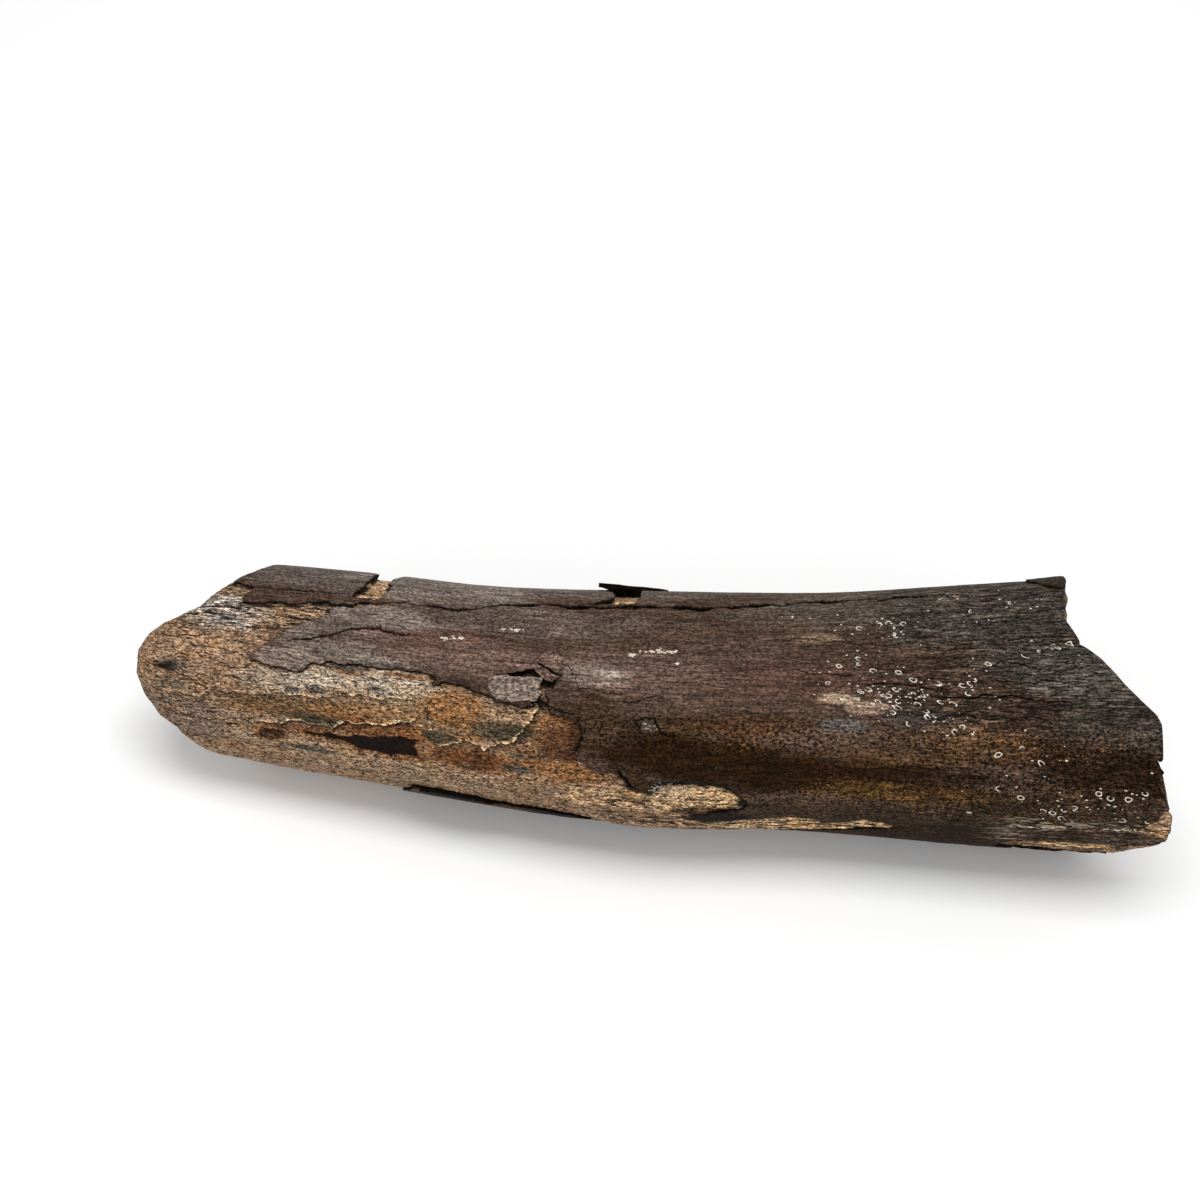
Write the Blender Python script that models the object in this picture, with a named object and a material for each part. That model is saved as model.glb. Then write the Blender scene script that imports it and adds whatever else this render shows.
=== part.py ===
"""A fragment of a mammoth's long bone: one solid, 435 mm long, lying on its underside.

The shaft runs along X, with its worn end at -X and its broken end at +X, and the side with
the bared band faces -Y. Z is up and z = 0 is the surface that the bone lies on. The origin
is under the middle of the fragment.

Every place on the shaft's surface is named by two numbers: x, in millimetres along the
shaft (the origin is at MIDDLE_X), and an angle in degrees around it, which is 0 on top, 90
at the front (-Y), 180 underneath and -90 (or 270) at the back. The third number, lift, is the height in
millimetres above or below the outer skin of the bone.
"""

import math

import bmesh
import bpy

MM = 0.001
MIDDLE_X = -2.8

# The shaft: half its height every 70 mm, and where its axis runs
STATION_START = -210.0
STATION_STEP = 70.0
HALF_SIZE = (41.0, 44.0, 45.0, 48.0, 48.0, 52.0, 56.0)
AXIS_Y = (9.0, 2.5, -5.0, -8.0, -3.5, 0.0, 3.0)
DEPTH_RATIO = 1.04
TOP_RATIO = 0.96
BOTTOM_RATIO = 0.86
SQUARENESS = 2.4
SQUARENESS_GAIN = 0.3
SQUARENESS_SPAN = 220.0

# The underside arches clear of the surface between two resting flats
ARCH_HEIGHT = 3.0
ARCH_HALF_SPAN = 150.0
REST_DEPTH = 1.2
WORN_DROP = 1.8
WORN_START = -100.0
WORN_BLEND = 40.0

# A low muscle ridge along the hidden lower back
RIDGE_ANGLE = -140.0
RIDGE_WIDTH = 16.0
RIDGE_HEIGHT = 4.0
RIDGE_HALF_SPAN = 130.0

# The ends, as (angle, x), from the top round by the front
WORN_END = (
    (-90, -162), (-54, -177), (-38, -184), (-29, -190), (-10, -197.5), (0, -206.5), (14, -216.5),
    (28, -220.5), (45, -220.5), (64, -214.5), (78, -206), (100, -197), (130, -182), (170, -173),
    (215, -164), (270, -162),
)
BROKEN_END = (
    (-90, 158), (-60, 168), (-50, 171), (-36, 167), (-20, 168), (-8, 173), (0, 181), (10, 188),
    (20, 196), (28, 203), (44, 205), (57, 209), (70, 214), (88, 216), (98, 211), (110, 201),
    (125, 199), (140, 188), (165, 181), (190, 170), (215, 172), (240, 161), (270, 158),
)
WORN_ROUNDING = 9.0
ROUNDING_RINGS = 3
SHAFT_RINGS = 38
SEGMENTS = 52

# The end faces, as (share of the radius, depth): hard outer bone around a lower spongy core
WORN_FACE = ((0.62, 0.5), (0.42, 2.5), (0.22, 3.5))
WORN_FACE_CENTRE = 4.0
BROKEN_FACE = ((0.93, -1.2), (0.82, 0.6), (0.66, 1.0), (0.58, 5.5), (0.38, 8.0), (0.18, 6.5))
BROKEN_FACE_CENTRE = 7.0
FACE_FLATNESS = 1.1
FACE_LUMP = 1.6

# Thickness of the skin that has flaked off, and of the layers lost below it
SKIN = 1.8
GAP_DEPTH = 2.3
CHIP_DEPTH = 2.6
HOLLOW_DEPTH = 3.1
BACK_SCAR_DEPTH = 2.0
LOWER_SCAR_DEPTH = 1.4
SPLIT_DEPTH = 2.2
SPLIT_WIDTH = 1.3
CURL_DEPTH = 1.5
CURL_WIDTH = 0.9
CUT_MARGIN = 6.0
GRID_ANGLE = 12.0
GRID_X = 24.0

# Outlines on the surface, as (x, angle)
BARED_LEFT = (
    (-240, -28), (-182, -28), (-173, -23), (-176, -12), (-150, -15.5), (-121, -19.5), (-131, -16),
    (-139, -12), (-148, -2), (-158, 10), (-169, 23), (-168, 25.5), (-146, 28), (-144, 24), (-122, 19),
    (-89, 20), (-90, 25), (-72, 25), (-58, 28.5), (-48, 29), (-44, 26), (-38, 33), (-27, 37), (-29, 51),
    (-22, 58), (-10, 60), (-6, 68), (5, 63), (32, 64), (41, 74), (42, 90), (63, 87), (84, 93), (96, 87),
    (112, 92), (96, 104), (66, 106), (40, 113), (-10, 106), (-60, 101), (-101, 96), (-112, 104),
    (-106, 124), (-121, 150), (-112, 176), (-128, 200), (-118, 226), (-138, 246), (-132, 262),
    (-150, 273), (-240, 275),
)
GAP = (
    (-129, -23), (-126, -36), (-121, -54), (-130, -72), (-136, -94), (-112, -92), (-107, -72),
    (-112, -55), (-116, -39), (-113, -37), (-119, -21.5),
)
HOLLOW = (
    (-170, 66), (-153, 60), (-146, 58), (-132, 60), (-128, 54), (-120, 53), (-97, 46), (-93, 50),
    (-90, 63), (-76, 57), (-66, 56), (-53, 51), (-48, 43), (-44, 35), (-36, 40), (-33, 52),
    (-46, 65), (-80, 72), (-128, 77), (-156, 75),
)
CHIP = ((-29, -37), (-20, -44), (-22, -62), (-12, -66), (-7, -52), (-11, -38), (-19, -35.5))
LOWER_SCAR = (
    (128, 112), (150, 98), (162, 87), (172, 80), (185, 78), (194, 81), (201, 79), (207, 70),
    (209, 62), (240, 61), (240, 124), (206, 126), (176, 118), (150, 121),
)
BACK_SCAR = (
    (14, -96), (34, -90), (62, -93), (78, -88), (112, -97), (104, -108), (122, -121), (96, -130),
    (72, -126), (48, -134), (30, -122), (36, -112), (18, -108),
)
BACK_END_SCAR = (
    (138, -118), (152, -108), (240, -104), (240, -152), (150, -150), (134, -138), (146, -130),
)
LIFTED_SLAB = ((-24, -57), (-22, -66), (-12, -74), (2, -70), (8, -60), (1, -55), (-9, -56), (-15, -54))
SLAB_TILT = 2.4
SLAB_THICKNESS = 1.2
TILTED_CHIP = ((-62, 16), (-54, 13), (-46, 14.5), (-45, 22), (-46, 27), (-58, 27.5), (-64, 25), (-66, 21))
SPLIT_CHIP = ((-50, 8), (-44, 0.5), (-37, 1.5), (-38, 11), (-42, 15))
CHIP_PIT = ((-63, 14.5), (-55, 11.5), (-49, 8.5), (-40, 15), (-42, 19), (-46, 14), (-54, 12.5))
CHIP_RISE = 0.9

# Open cracks, as (x, angle) along their length
LONG_SPLIT = (
    (-122, -20.5), (-100, -23), (-76, -26), (-60, -32), (-46, -34), (18, -32.5), (38, -36.5),
    (62, -40), (94, -40.5), (122, -39), (146, -40),
)
CURLED_EDGE = ((-156, 11), (-140, 6), (-127, -2), (-112, -2.5), (-98, -1))

BONE_COLOUR = (0.062, 0.042, 0.031, 1.0)
BONE_ROUGHNESS = 0.62


def clear_scene():
    for thing in list(bpy.data.objects):
        bpy.data.objects.remove(thing, do_unlink=True)


def new_collection(name):
    collection = bpy.data.collections.new(name)
    bpy.context.scene.collection.children.link(collection)
    return collection


def smooth_step(value):
    clipped = min(max(value, 0.0), 1.0)
    return clipped * clipped * (3.0 - 2.0 * clipped)


def along_shaft(values, x):
    """Value at x of a smooth curve through values that stand every STATION_STEP."""
    padded = (2 * values[0] - values[1], *values, 2 * values[-1] - values[-2])
    place = (x - STATION_START) / STATION_STEP
    index = min(max(math.floor(place), 0), len(values) - 2)
    t = place - index
    a, b, c, d = padded[index:index + 4]
    return 0.5 * (2 * b + (c - a) * t + (2 * a - 5 * b + 4 * c - d) * t**2 + (3 * b - a - 3 * c + d) * t**3)


def read_outline(pairs, angle):
    """Value at an angle of an end's outline, given as (angle, value) pairs over one turn."""
    angle = (angle + 90.0) % 360.0 - 90.0
    for (start, first), (stop, second) in zip(pairs, pairs[1:]):
        if start <= angle <= stop:
            return first + (second - first) * (angle - start) / (stop - start)
    return pairs[0][1]


def radius(x, angle):
    """Distance in millimetres from the shaft's axis to its skin."""
    size = along_shaft(HALF_SIZE, x)
    turn = math.radians(angle)
    power = SQUARENESS + SQUARENESS_GAIN * x / SQUARENESS_SPAN
    height = size * (TOP_RATIO if math.cos(turn) > 0 else BOTTOM_RATIO)
    across = abs(math.sin(turn) / (DEPTH_RATIO * size)) ** power
    up = abs(math.cos(turn) / height) ** power
    away = (angle - RIDGE_ANGLE + 180.0) % 360.0 - 180.0
    ridge = RIDGE_HEIGHT * math.exp(-(away / RIDGE_WIDTH) ** 2 - (x / RIDGE_HALF_SPAN) ** 2)
    return (across + up) ** (-1.0 / power) + ridge


def axis_height(x):
    arch = ARCH_HEIGHT * max(0.0, 1.0 - (x / ARCH_HALF_SPAN) ** 2) ** 1.5
    worn = WORN_DROP * smooth_step((WORN_START - x) / WORN_BLEND)
    return BOTTOM_RATIO * along_shaft(HALF_SIZE, x) + arch - REST_DEPTH - worn


def polar_point(x, angle, distance):
    turn = math.radians(angle)
    y = along_shaft(AXIS_Y, x) - distance * math.sin(turn)
    z = axis_height(x) + distance * math.cos(turn)
    return ((x - MIDDLE_X) * MM, y * MM, z * MM)


def surface_point(x, angle, lift=0.0):
    return polar_point(x, angle, radius(x, angle) + lift)


def add_ring(bm, place):
    """One closed ring of vertices: place gives the point at an angle."""
    return [bm.verts.new(place(360.0 * step / SEGMENTS)) for step in range(SEGMENTS)]


def join_rings(bm, first, second):
    for step in range(SEGMENTS):
        after = (step + 1) % SEGMENTS
        bm.faces.new((first[step], first[after], second[after], second[step]))


def close_ring(bm, ring, point):
    tip = bm.verts.new(point)
    for step in range(SEGMENTS):
        bm.faces.new((ring[step], ring[(step + 1) % SEGMENTS], tip))


def face_ring(outline, share, depth, inward, reach):
    """Ring on an end face: share of the radius, and depth below the face's smooth form."""
    middle = sum(read_outline(outline, angle) for angle in range(0, 360, 10)) / 36.0

    def place(angle):
        rim = read_outline(outline, angle)
        lump = FACE_LUMP * math.sin(math.radians(3 * angle + 200 * share)) * share * (1.0 - share) * 4.0
        x = middle + (rim - middle) * share**FACE_FLATNESS + inward * (depth + lump)
        return polar_point(x, angle, (radius(x, angle) - reach) * share)

    return place


def shaft_ring(share):
    def place(angle):
        start = read_outline(WORN_END, angle) + WORN_ROUNDING
        stop = read_outline(BROKEN_END, angle)
        return surface_point(start + (stop - start) * share, angle)

    return place


def rounding_ring(step):
    """Ring on the worn end's rounded edge, from its face (step 0) out towards the shaft."""
    turn = 0.5 * math.pi * step / ROUNDING_RINGS

    def place(angle):
        x = read_outline(WORN_END, angle) + WORN_ROUNDING * (1.0 - math.cos(turn))
        return surface_point(x, angle, -WORN_ROUNDING * (1.0 - math.sin(turn)))

    return place


def make_shaft(collection):
    """The whole bone before its skin flaked: a loft from the worn end to the broken end."""
    bm = bmesh.new()
    rings = []
    for share, depth in reversed(WORN_FACE):
        rings.append(add_ring(bm, face_ring(WORN_END, share, depth, 1.0, WORN_ROUNDING)))
    for step in range(ROUNDING_RINGS):
        rings.append(add_ring(bm, rounding_ring(step)))
    for step in range(SHAFT_RINGS + 1):
        rings.append(add_ring(bm, shaft_ring(step / SHAFT_RINGS)))
    for share, depth in BROKEN_FACE:
        rings.append(add_ring(bm, face_ring(BROKEN_END, share, depth, -1.0, 0.0)))
    for first, second in zip(rings, rings[1:]):
        join_rings(bm, first, second)
    close_ring(bm, rings[0], face_ring(WORN_END, 0.0, WORN_FACE_CENTRE, 1.0, 0.0)(0.0))
    close_ring(bm, rings[-1], face_ring(BROKEN_END, 0.0, BROKEN_FACE_CENTRE, -1.0, 0.0)(0.0))
    return new_object("bone_fragment", bm, collection)


def new_object(name, bm, collection):
    bmesh.ops.recalc_face_normals(bm, faces=bm.faces)
    if bm.calc_volume(signed=True) < 0.0:
        bmesh.ops.reverse_faces(bm, faces=bm.faces[:])
    mesh = bpy.data.meshes.new(name)
    bm.to_mesh(mesh)
    bm.free()
    thing = bpy.data.objects.new(name, mesh)
    collection.objects.link(thing)
    return thing


def cut_into_grid(bm, outline, axis, step):
    """Cut a flat face along the lines of a grid, so that it can bend around the shaft."""
    values = [point[axis] for point in outline]
    normal = (1.0, 0.0, 0.0) if axis == 0 else (0.0, 1.0, 0.0)
    line = math.ceil(min(values) / step) * step
    while line < max(values):
        centre = tuple(line * part for part in normal)
        everything = bm.verts[:] + bm.edges[:] + bm.faces[:]
        bmesh.ops.bisect_plane(bm, geom=everything, dist=1e-5, plane_co=centre, plane_no=normal)
        line += step


def wrap(name, outline, low, high, collection):
    """A closed slab over an outline, bent round the shaft between the lifts low(x) and high(x)."""
    bm = bmesh.new()
    bm.faces.new([bm.verts.new((x, angle, 0.0)) for x, angle in outline])
    cut_into_grid(bm, outline, 1, GRID_ANGLE)
    cut_into_grid(bm, outline, 0, GRID_X)
    bmesh.ops.triangulate(bm, faces=bm.faces[:])
    raised = bmesh.ops.extrude_face_region(bm, geom=bm.faces[:])["geom"]
    for item in raised:
        if isinstance(item, bmesh.types.BMVert):
            item.co.z = 1.0
    for vertex in bm.verts:
        x, angle, level = vertex.co
        lift = high(x) if level > 0.5 else low(x)
        vertex.co = surface_point(x, angle, lift)
    return new_object(name, bm, collection)


def scar(name, outline, depth, cutters):
    """A cutter for a place where the bone has lost its skin down to a depth."""
    return wrap(name, outline, lambda x: -depth, lambda x: CUT_MARGIN, cutters)


def crack_outline(route, width):
    """Outline of an open crack: widest in its middle, and closing to a point at each end."""
    sides = ([], [])
    lengths = [0.0]
    for (x0, _), (x1, _) in zip(route, route[1:]):
        lengths.append(lengths[-1] + abs(x1 - x0))
    for (x, angle), length in zip(route, lengths):
        share = length / lengths[-1]
        half = 0.5 * width * (0.25 + 0.75 * math.sin(math.pi * share))
        spread = math.degrees(half / radius(x, angle))
        sides[0].append((x, angle - spread))
        sides[1].append((x, angle + spread))
    return sides[0] + sides[1][::-1]


def crack(name, route, width, depth, cutters):
    return wrap(name, crack_outline(route, width), lambda x: -depth, lambda x: CUT_MARGIN, cutters)


def make_scars(cutters):
    """Every place where the bone has lost material."""
    return [
        scar("bared_left", BARED_LEFT, SKIN, cutters),
        scar("gap", GAP, GAP_DEPTH, cutters),
        scar("hollow", HOLLOW, HOLLOW_DEPTH, cutters),
        scar("chip", CHIP, CHIP_DEPTH, cutters),
        scar("chip_pit", CHIP_PIT, GAP_DEPTH, cutters),
        scar("lower_scar", LOWER_SCAR, LOWER_SCAR_DEPTH, cutters),
        scar("back_scar", BACK_SCAR, BACK_SCAR_DEPTH, cutters),
        scar("back_end_scar", BACK_END_SCAR, BACK_SCAR_DEPTH, cutters),
        crack("long_split", LONG_SPLIT, SPLIT_WIDTH, SPLIT_DEPTH, cutters),
        crack("curled_edge", CURLED_EDGE, CURL_WIDTH, CURL_DEPTH, cutters),
    ]


def make_flakes(cutters):
    """Flakes of the skin that still hold to the bone but stand proud of it."""
    slab_length = LIFTED_SLAB[4][0] - LIFTED_SLAB[0][0]

    def slab_low(x):
        return -0.6 + SLAB_TILT * (LIFTED_SLAB[4][0] - x) / slab_length

    return [
        wrap("lifted_slab", LIFTED_SLAB, slab_low, lambda x: slab_low(x) + SLAB_THICKNESS, cutters),
        wrap("tilted_chip", TILTED_CHIP, lambda x: -SKIN - 0.7, lambda x: CHIP_RISE, cutters),
        wrap("split_chip", SPLIT_CHIP, lambda x: -SKIN - 0.5, lambda x: 0.8 * CHIP_RISE, cutters),
    ]


def make_rest_plane(cutters):
    """Everything below the surface that the bone lies on."""
    bm = bmesh.new()
    bmesh.ops.create_cube(bm, size=1.0)
    for vertex in bm.verts:
        vertex.co.x *= 0.6
        vertex.co.y *= 0.3
        vertex.co.z = vertex.co.z * 0.02 - 0.01
    return new_object("rest_plane", bm, cutters)


def combine(thing, other, operation):
    other.hide_render = True
    other.display_type = "WIRE"
    boolean = thing.modifiers.new(other.name, "BOOLEAN")
    boolean.operation = operation
    boolean.solver = "EXACT"
    boolean.object = other


def bone_material():
    material = bpy.data.materials.new("fossil_bone")
    material.use_nodes = True
    shader = material.node_tree.nodes["Principled BSDF"]
    shader.inputs["Base Color"].default_value = BONE_COLOUR
    shader.inputs["Roughness"].default_value = BONE_ROUGHNESS
    shader.inputs["Metallic"].default_value = 0.0
    return material


def main():
    clear_scene()
    parts = new_collection("mammoth_bone_fragment")
    cutters = new_collection("cutters")
    bone = make_shaft(parts)
    bone.data.materials.append(bone_material())
    for cutter in make_scars(cutters):
        combine(bone, cutter, "DIFFERENCE")
    for flake in make_flakes(cutters):
        combine(bone, flake, "UNION")
    combine(bone, make_rest_plane(cutters), "DIFFERENCE")


main()
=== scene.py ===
"""The looks of a fossil mammoth bone fragment: tan bone under a dark skin that is flaking off.

Places on the bone are named as in its solid: x in millimetres along the shaft (the origin is
at MIDDLE_X), an angle in degrees around it (0 on top, 90 at the front, -90 at the back), and
a lift in millimetres above the outer skin. Meshes are laid out on a flat map of the shaft, in
millimetres, and then bent round it.
"""

import math

import bmesh
import bpy
import numpy as np
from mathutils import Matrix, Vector
from mathutils.geometry import delaunay_2d_cdt
from mathutils.kdtree import KDTree


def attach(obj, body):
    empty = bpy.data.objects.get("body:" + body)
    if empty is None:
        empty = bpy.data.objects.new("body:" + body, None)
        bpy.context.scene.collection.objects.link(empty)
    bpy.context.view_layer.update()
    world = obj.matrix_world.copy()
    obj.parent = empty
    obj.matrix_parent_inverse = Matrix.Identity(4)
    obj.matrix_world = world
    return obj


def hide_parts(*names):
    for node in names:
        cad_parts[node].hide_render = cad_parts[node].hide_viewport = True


NODE = "bone_fragment"
MM = 0.001
MIDDLE_X = -2.8

# ---------------- the shaft, as in the solid

STATION_START = -210.0
STATION_STEP = 70.0
HALF_SIZE = (41.0, 44.0, 45.0, 48.0, 48.0, 52.0, 56.0)
AXIS_Y = (9.0, 2.5, -5.0, -8.0, -3.5, 0.0, 3.0)
DEPTH_RATIO = 1.04
TOP_RATIO = 0.96
BOTTOM_RATIO = 0.86
SQUARENESS = 2.4
SQUARENESS_GAIN = 0.3
SQUARENESS_SPAN = 220.0
ARCH_HEIGHT = 3.0
ARCH_HALF_SPAN = 150.0
REST_DEPTH = 1.2
WORN_DROP = 1.8
WORN_START = -100.0
WORN_BLEND = 40.0
RIDGE_ANGLE = -140.0
RIDGE_WIDTH = 16.0
RIDGE_HEIGHT = 4.0
RIDGE_HALF_SPAN = 130.0
WORN_ROUNDING = 9.0
FACE_FLATNESS = 1.1

# Where the shaft ends, as (angle, x)
WORN_END = (
    (-90, -162), (-54, -177), (-38, -184), (-29, -190), (-19, -194), (-10, -197.5), (-2, -204.5),
    (6, -211.5), (14, -216.5), (28, -220.5), (45, -220.5), (58, -217.5), (64, -214.5), (71, -212.5),
    (78, -206), (88, -203), (100, -197), (130, -182), (170, -173), (215, -164), (270, -162),
)
BROKEN_END = (
    (-90, 158), (-76, 160), (-70, 166), (-60, 168), (-50, 171), (-42, 170), (-36, 167), (-31, 169),
    (-22, 167), (-18, 169), (-9, 173), (-8, 172), (-6, 175), (0, 181), (7, 186), (13, 190), (20, 196),
    (26, 202), (30, 204), (43, 205), (44, 204), (48, 206), (57, 209), (67, 212), (70, 214), (82, 216),
    (90, 216), (96, 212), (103, 204), (110, 200), (118, 201), (125, 197), (140, 188), (152, 186),
    (160, 180), (176, 176), (190, 170), (200, 173), (215, 172), (228, 166), (240, 161), (254, 161),
    (270, 158),
)

# ---------------- the flat map

ARC = 0.855
MAP_LENGTH = 400.0
SEAM_BACK = -150.0
SEAM_FRONT = SEAM_BACK + 360.0
MAP_BACK = SEAM_BACK * ARC
MAP_FRONT = SEAM_FRONT * ARC
NOISE_RADIUS = 49.0
# How much longer the worn end's rounded edge is than its reach along the shaft
EDGE_GAIN = WORN_ROUNDING * (0.5 * math.pi - 1.0)

SKIN_THICKNESS = 1.8
SKIN_ROOT = 2.5
LIP_DEPTH = 1.0
TUCK = 0.8

# Where the skin has gone. Each is an outline of (x, angle) on the shaft.
BARED = {
    "left": (
        (-250, -27), (-182, -27), (-176, -26), (-173, -22), (-174, -20), (-176, -16), (-176, -12.5),
        (-163, -14.5), (-150, -16), (-140, -19), (-134, -18), (-127, -19.5), (-121, -20), (-124, -17.5),
        (-132, -16), (-138, -14), (-140, -8), (-148, -2), (-155, 4), (-158, 9), (-164, 16), (-169, 22),
        (-168, 24.5), (-154, 26.5), (-146, 27), (-144, 23), (-142, 21), (-134, 19), (-122, 18.5),
        (-114, 20), (-104, 18.5), (-96, 18.5), (-89, 20), (-90, 25), (-86, 22), (-78, 22.5), (-72, 25),
        (-65, 27), (-58, 29), (-48, 29.5), (-44, 26), (-42, 29), (-40, 32), (-35, 33), (-28, 35.5),
        (-27, 38), (-26, 43), (-29, 51), (-28, 54), (-22, 58), (-14, 58.5), (-10, 60.5), (-7, 68),
        (0, 69.5), (2, 66), (3, 63.5), (10, 61.5), (18, 60.5), (25, 61), (31, 62), (35, 64.5), (38, 67.5),
        (41, 72), (43, 76), (41.5, 80.5), (34, 83.5), (27, 85), (20.5, 87), (21, 92), (26, 95.5),
        (34, 93.5), (42, 91), (52, 89), (63, 87), (70, 88), (75.5, 93.5), (82.5, 91), (91.5, 86), (100, 88),
        (110, 92.3), (97, 95.8), (84, 101.5), (75, 104.5), (66, 106), (58, 113), (44, 127), (16, 128),
        (-8, 126), (-24, 118), (-40, 106), (-60, 101), (-80, 98.5), (-98, 96), (-104, 108), (-100, 124),
        (-121, 150), (-112, 176), (-123, 210), (-250, 210),
    ),
    "left_back": (
        (-250, -150), (-123, -150), (-118, -134), (-138, -114), (-132, -98), (-150, -87), (-160, -82),
        (-250, -82),
    ),
    "worn_rim": (
        (-250, -90), (-152, -90), (-163, -72), (-170, -54), (-176, -38), (-181, -30), (-183, -26),
        (-250, -26),
    ),
    "gap": (
        (-129.5, -24), (-128, -30), (-126, -34), (-126, -40), (-124, -44), (-122, -56), (-129, -66),
        (-127, -78), (-136, -96), (-112, -94), (-107, -74), (-112, -52), (-114, -48), (-116, -40),
        (-113.5, -38), (-114, -34), (-116, -28), (-120, -22.5), (-125, -22.5),
    ),
    "chip": (
        (-30, -35.5), (-24, -39), (-19, -42.5), (-22, -53), (-20, -62), (-12, -66), (-7, -56), (-7.5, -44),
        (-8, -39), (-10, -36.5), (-20, -35.5), (-26, -34.5),
    ),
    "chip_pit": (
        (-68, 17.5), (-64, 14.3), (-56, 12), (-49, 9.5), (-44, 12.5), (-39, 15.5), (-40, 20), (-43, 21),
        (-42.5, 28), (-46, 31), (-49, 28), (-46, 22), (-52, 17), (-62, 18),
    ),
    "lower_right": (
        (150, 104), (156, 94), (162, 88), (166, 84), (172, 80.5), (178, 78), (185, 78.5), (194, 81),
        (199, 80), (204, 76), (208, 71), (212, 62), (250, 61), (250, 124), (206, 126), (176, 118),
        (158, 121),
    ),
    "corner": ((203, 43), (206, 48), (204, 52), (206, 58), (211, 64), (250, 66), (250, 43)),
    "back": (
        (14, -98), (24, -92), (34, -90), (46, -94), (62, -93), (78, -88), (96, -90), (112, -97),
        (104, -108), (122, -121), (96, -130), (72, -126), (60, -131), (48, -134), (30, -122), (36, -112),
        (18, -108),
    ),
    "back_end": (
        (138, -118), (152, -108), (168, -112), (250, -104), (250, -149), (150, -147), (134, -138),
        (146, -130),
    ),
}

# Cracks that part the skin right through, as (x, angle) along them, with their width
SPLITS = (
    (
        (
            (-124, -20.2), (-109, -23.5), (-94, -24), (-76, -26), (-60, -32), (-46, -34), (-20, -33),
            (4, -34), (18, -32.5), (24, -34.5), (38, -36.5), (52, -36.5), (60, -40), (82, -41.5), (94, -40),
            (110, -41), (121, -40), (135, -38), (146, -40.5),
        ),
        2.4,
    ),
)

# Cracks in the skin, as (route, half width, depth)
CRACKS = (
    (((48, -14), (62, -14), (78, -12), (84, -10), (96, -9.5), (103, -11), (117, -10.5)), 0.36, 1.0),
    (((58, 4), (70, 6), (83, 8)), 0.28, 0.7), (((86, 12), (102, 12.5), (111, 14), (120, 15)), 0.4, 1.0),
    (((115, 17.5), (122, 19), (129, 19), (140, 18.5), (157, 20), (172, 22)), 0.42, 1.0),
    (((136, 10), (148, 12), (160, 10.5), (172, 12)), 0.3, 0.6),
    (((140, -12), (149, -11.5), (160, -11.5), (172, -10)), 0.36, 1.0),
    (((122, 4), (140, 1), (158, 4.5), (176, 3)), 0.3, 0.6),
    (((-174, -24), (-160, -24), (-146, -25.5), (-131, -26.5)), 0.5, 1.1),
    (((-133, -38), (-129, -37.5), (-124, -38.5)), 0.36, 0.9),
    (((-166, 18), (-150, 20.5), (-132, 22)), 0.24, 0.5), (((-108, -45), (-101, -46), (-95, -45)), 0.3, 0.8),
    (((-36, 4.5), (-31, 12), (-29.5, 19), (-20, 19.5), (-8, 20)), 0.26, 0.5),
    (((6, 12), (20, 13), (32, 16)), 0.2, 0.3), (((-44, 27), (-38, 30), (-30, 31.5)), 0.4, 0.8),
    (((118, 28), (134, 28), (151, 27.5), (162, 30)), 0.28, 0.6),
    (((-12, 23), (-2.5, 21.5), (6.5, 21)), 0.3, 0.6), (((-15, 12), (-5.5, 10), (-2, 10.5)), 0.22, 0.4),
    (((-3, 38), (-6, 32.5), (-2, 31), (2, 30.5), (5.5, 37.5), (9, 39.5)), 0.42, 0.9),
    (((-11, 57), (-7.5, 62), (-4, 68)), 1.3, 1.3),
    (((24, -70), (60, -76), (104, -72), (140, -80)), 0.4, 1.2),
    (((-96, -110), (-50, -118), (10, -112)), 0.42, 1.2),
    (((-80, 150), (-20, 156), (60, 150), (120, 158)), 0.42, 1.2),
    (((20, 128), (70, 124), (130, 130), (168, 126)), 0.36, 1.0),
    (((-49, 5.4), (-43, 9.2), (-36.5, 12.9)), 0.9, 1.3),
)

# An edge of the skin that has sprung up over the skin below it, and how far each side moves
CURLED_EDGE = (
    (-157, 11.5), (-150, 9), (-140, 5.5), (-132, 1.5), (-127, -2), (-120, -3.5), (-112, -2.5), (-99, -1.5),
)
CURL_RISE = 0.7
CURL_DROP = 0.5
CURL_REACH = 7.0

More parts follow.
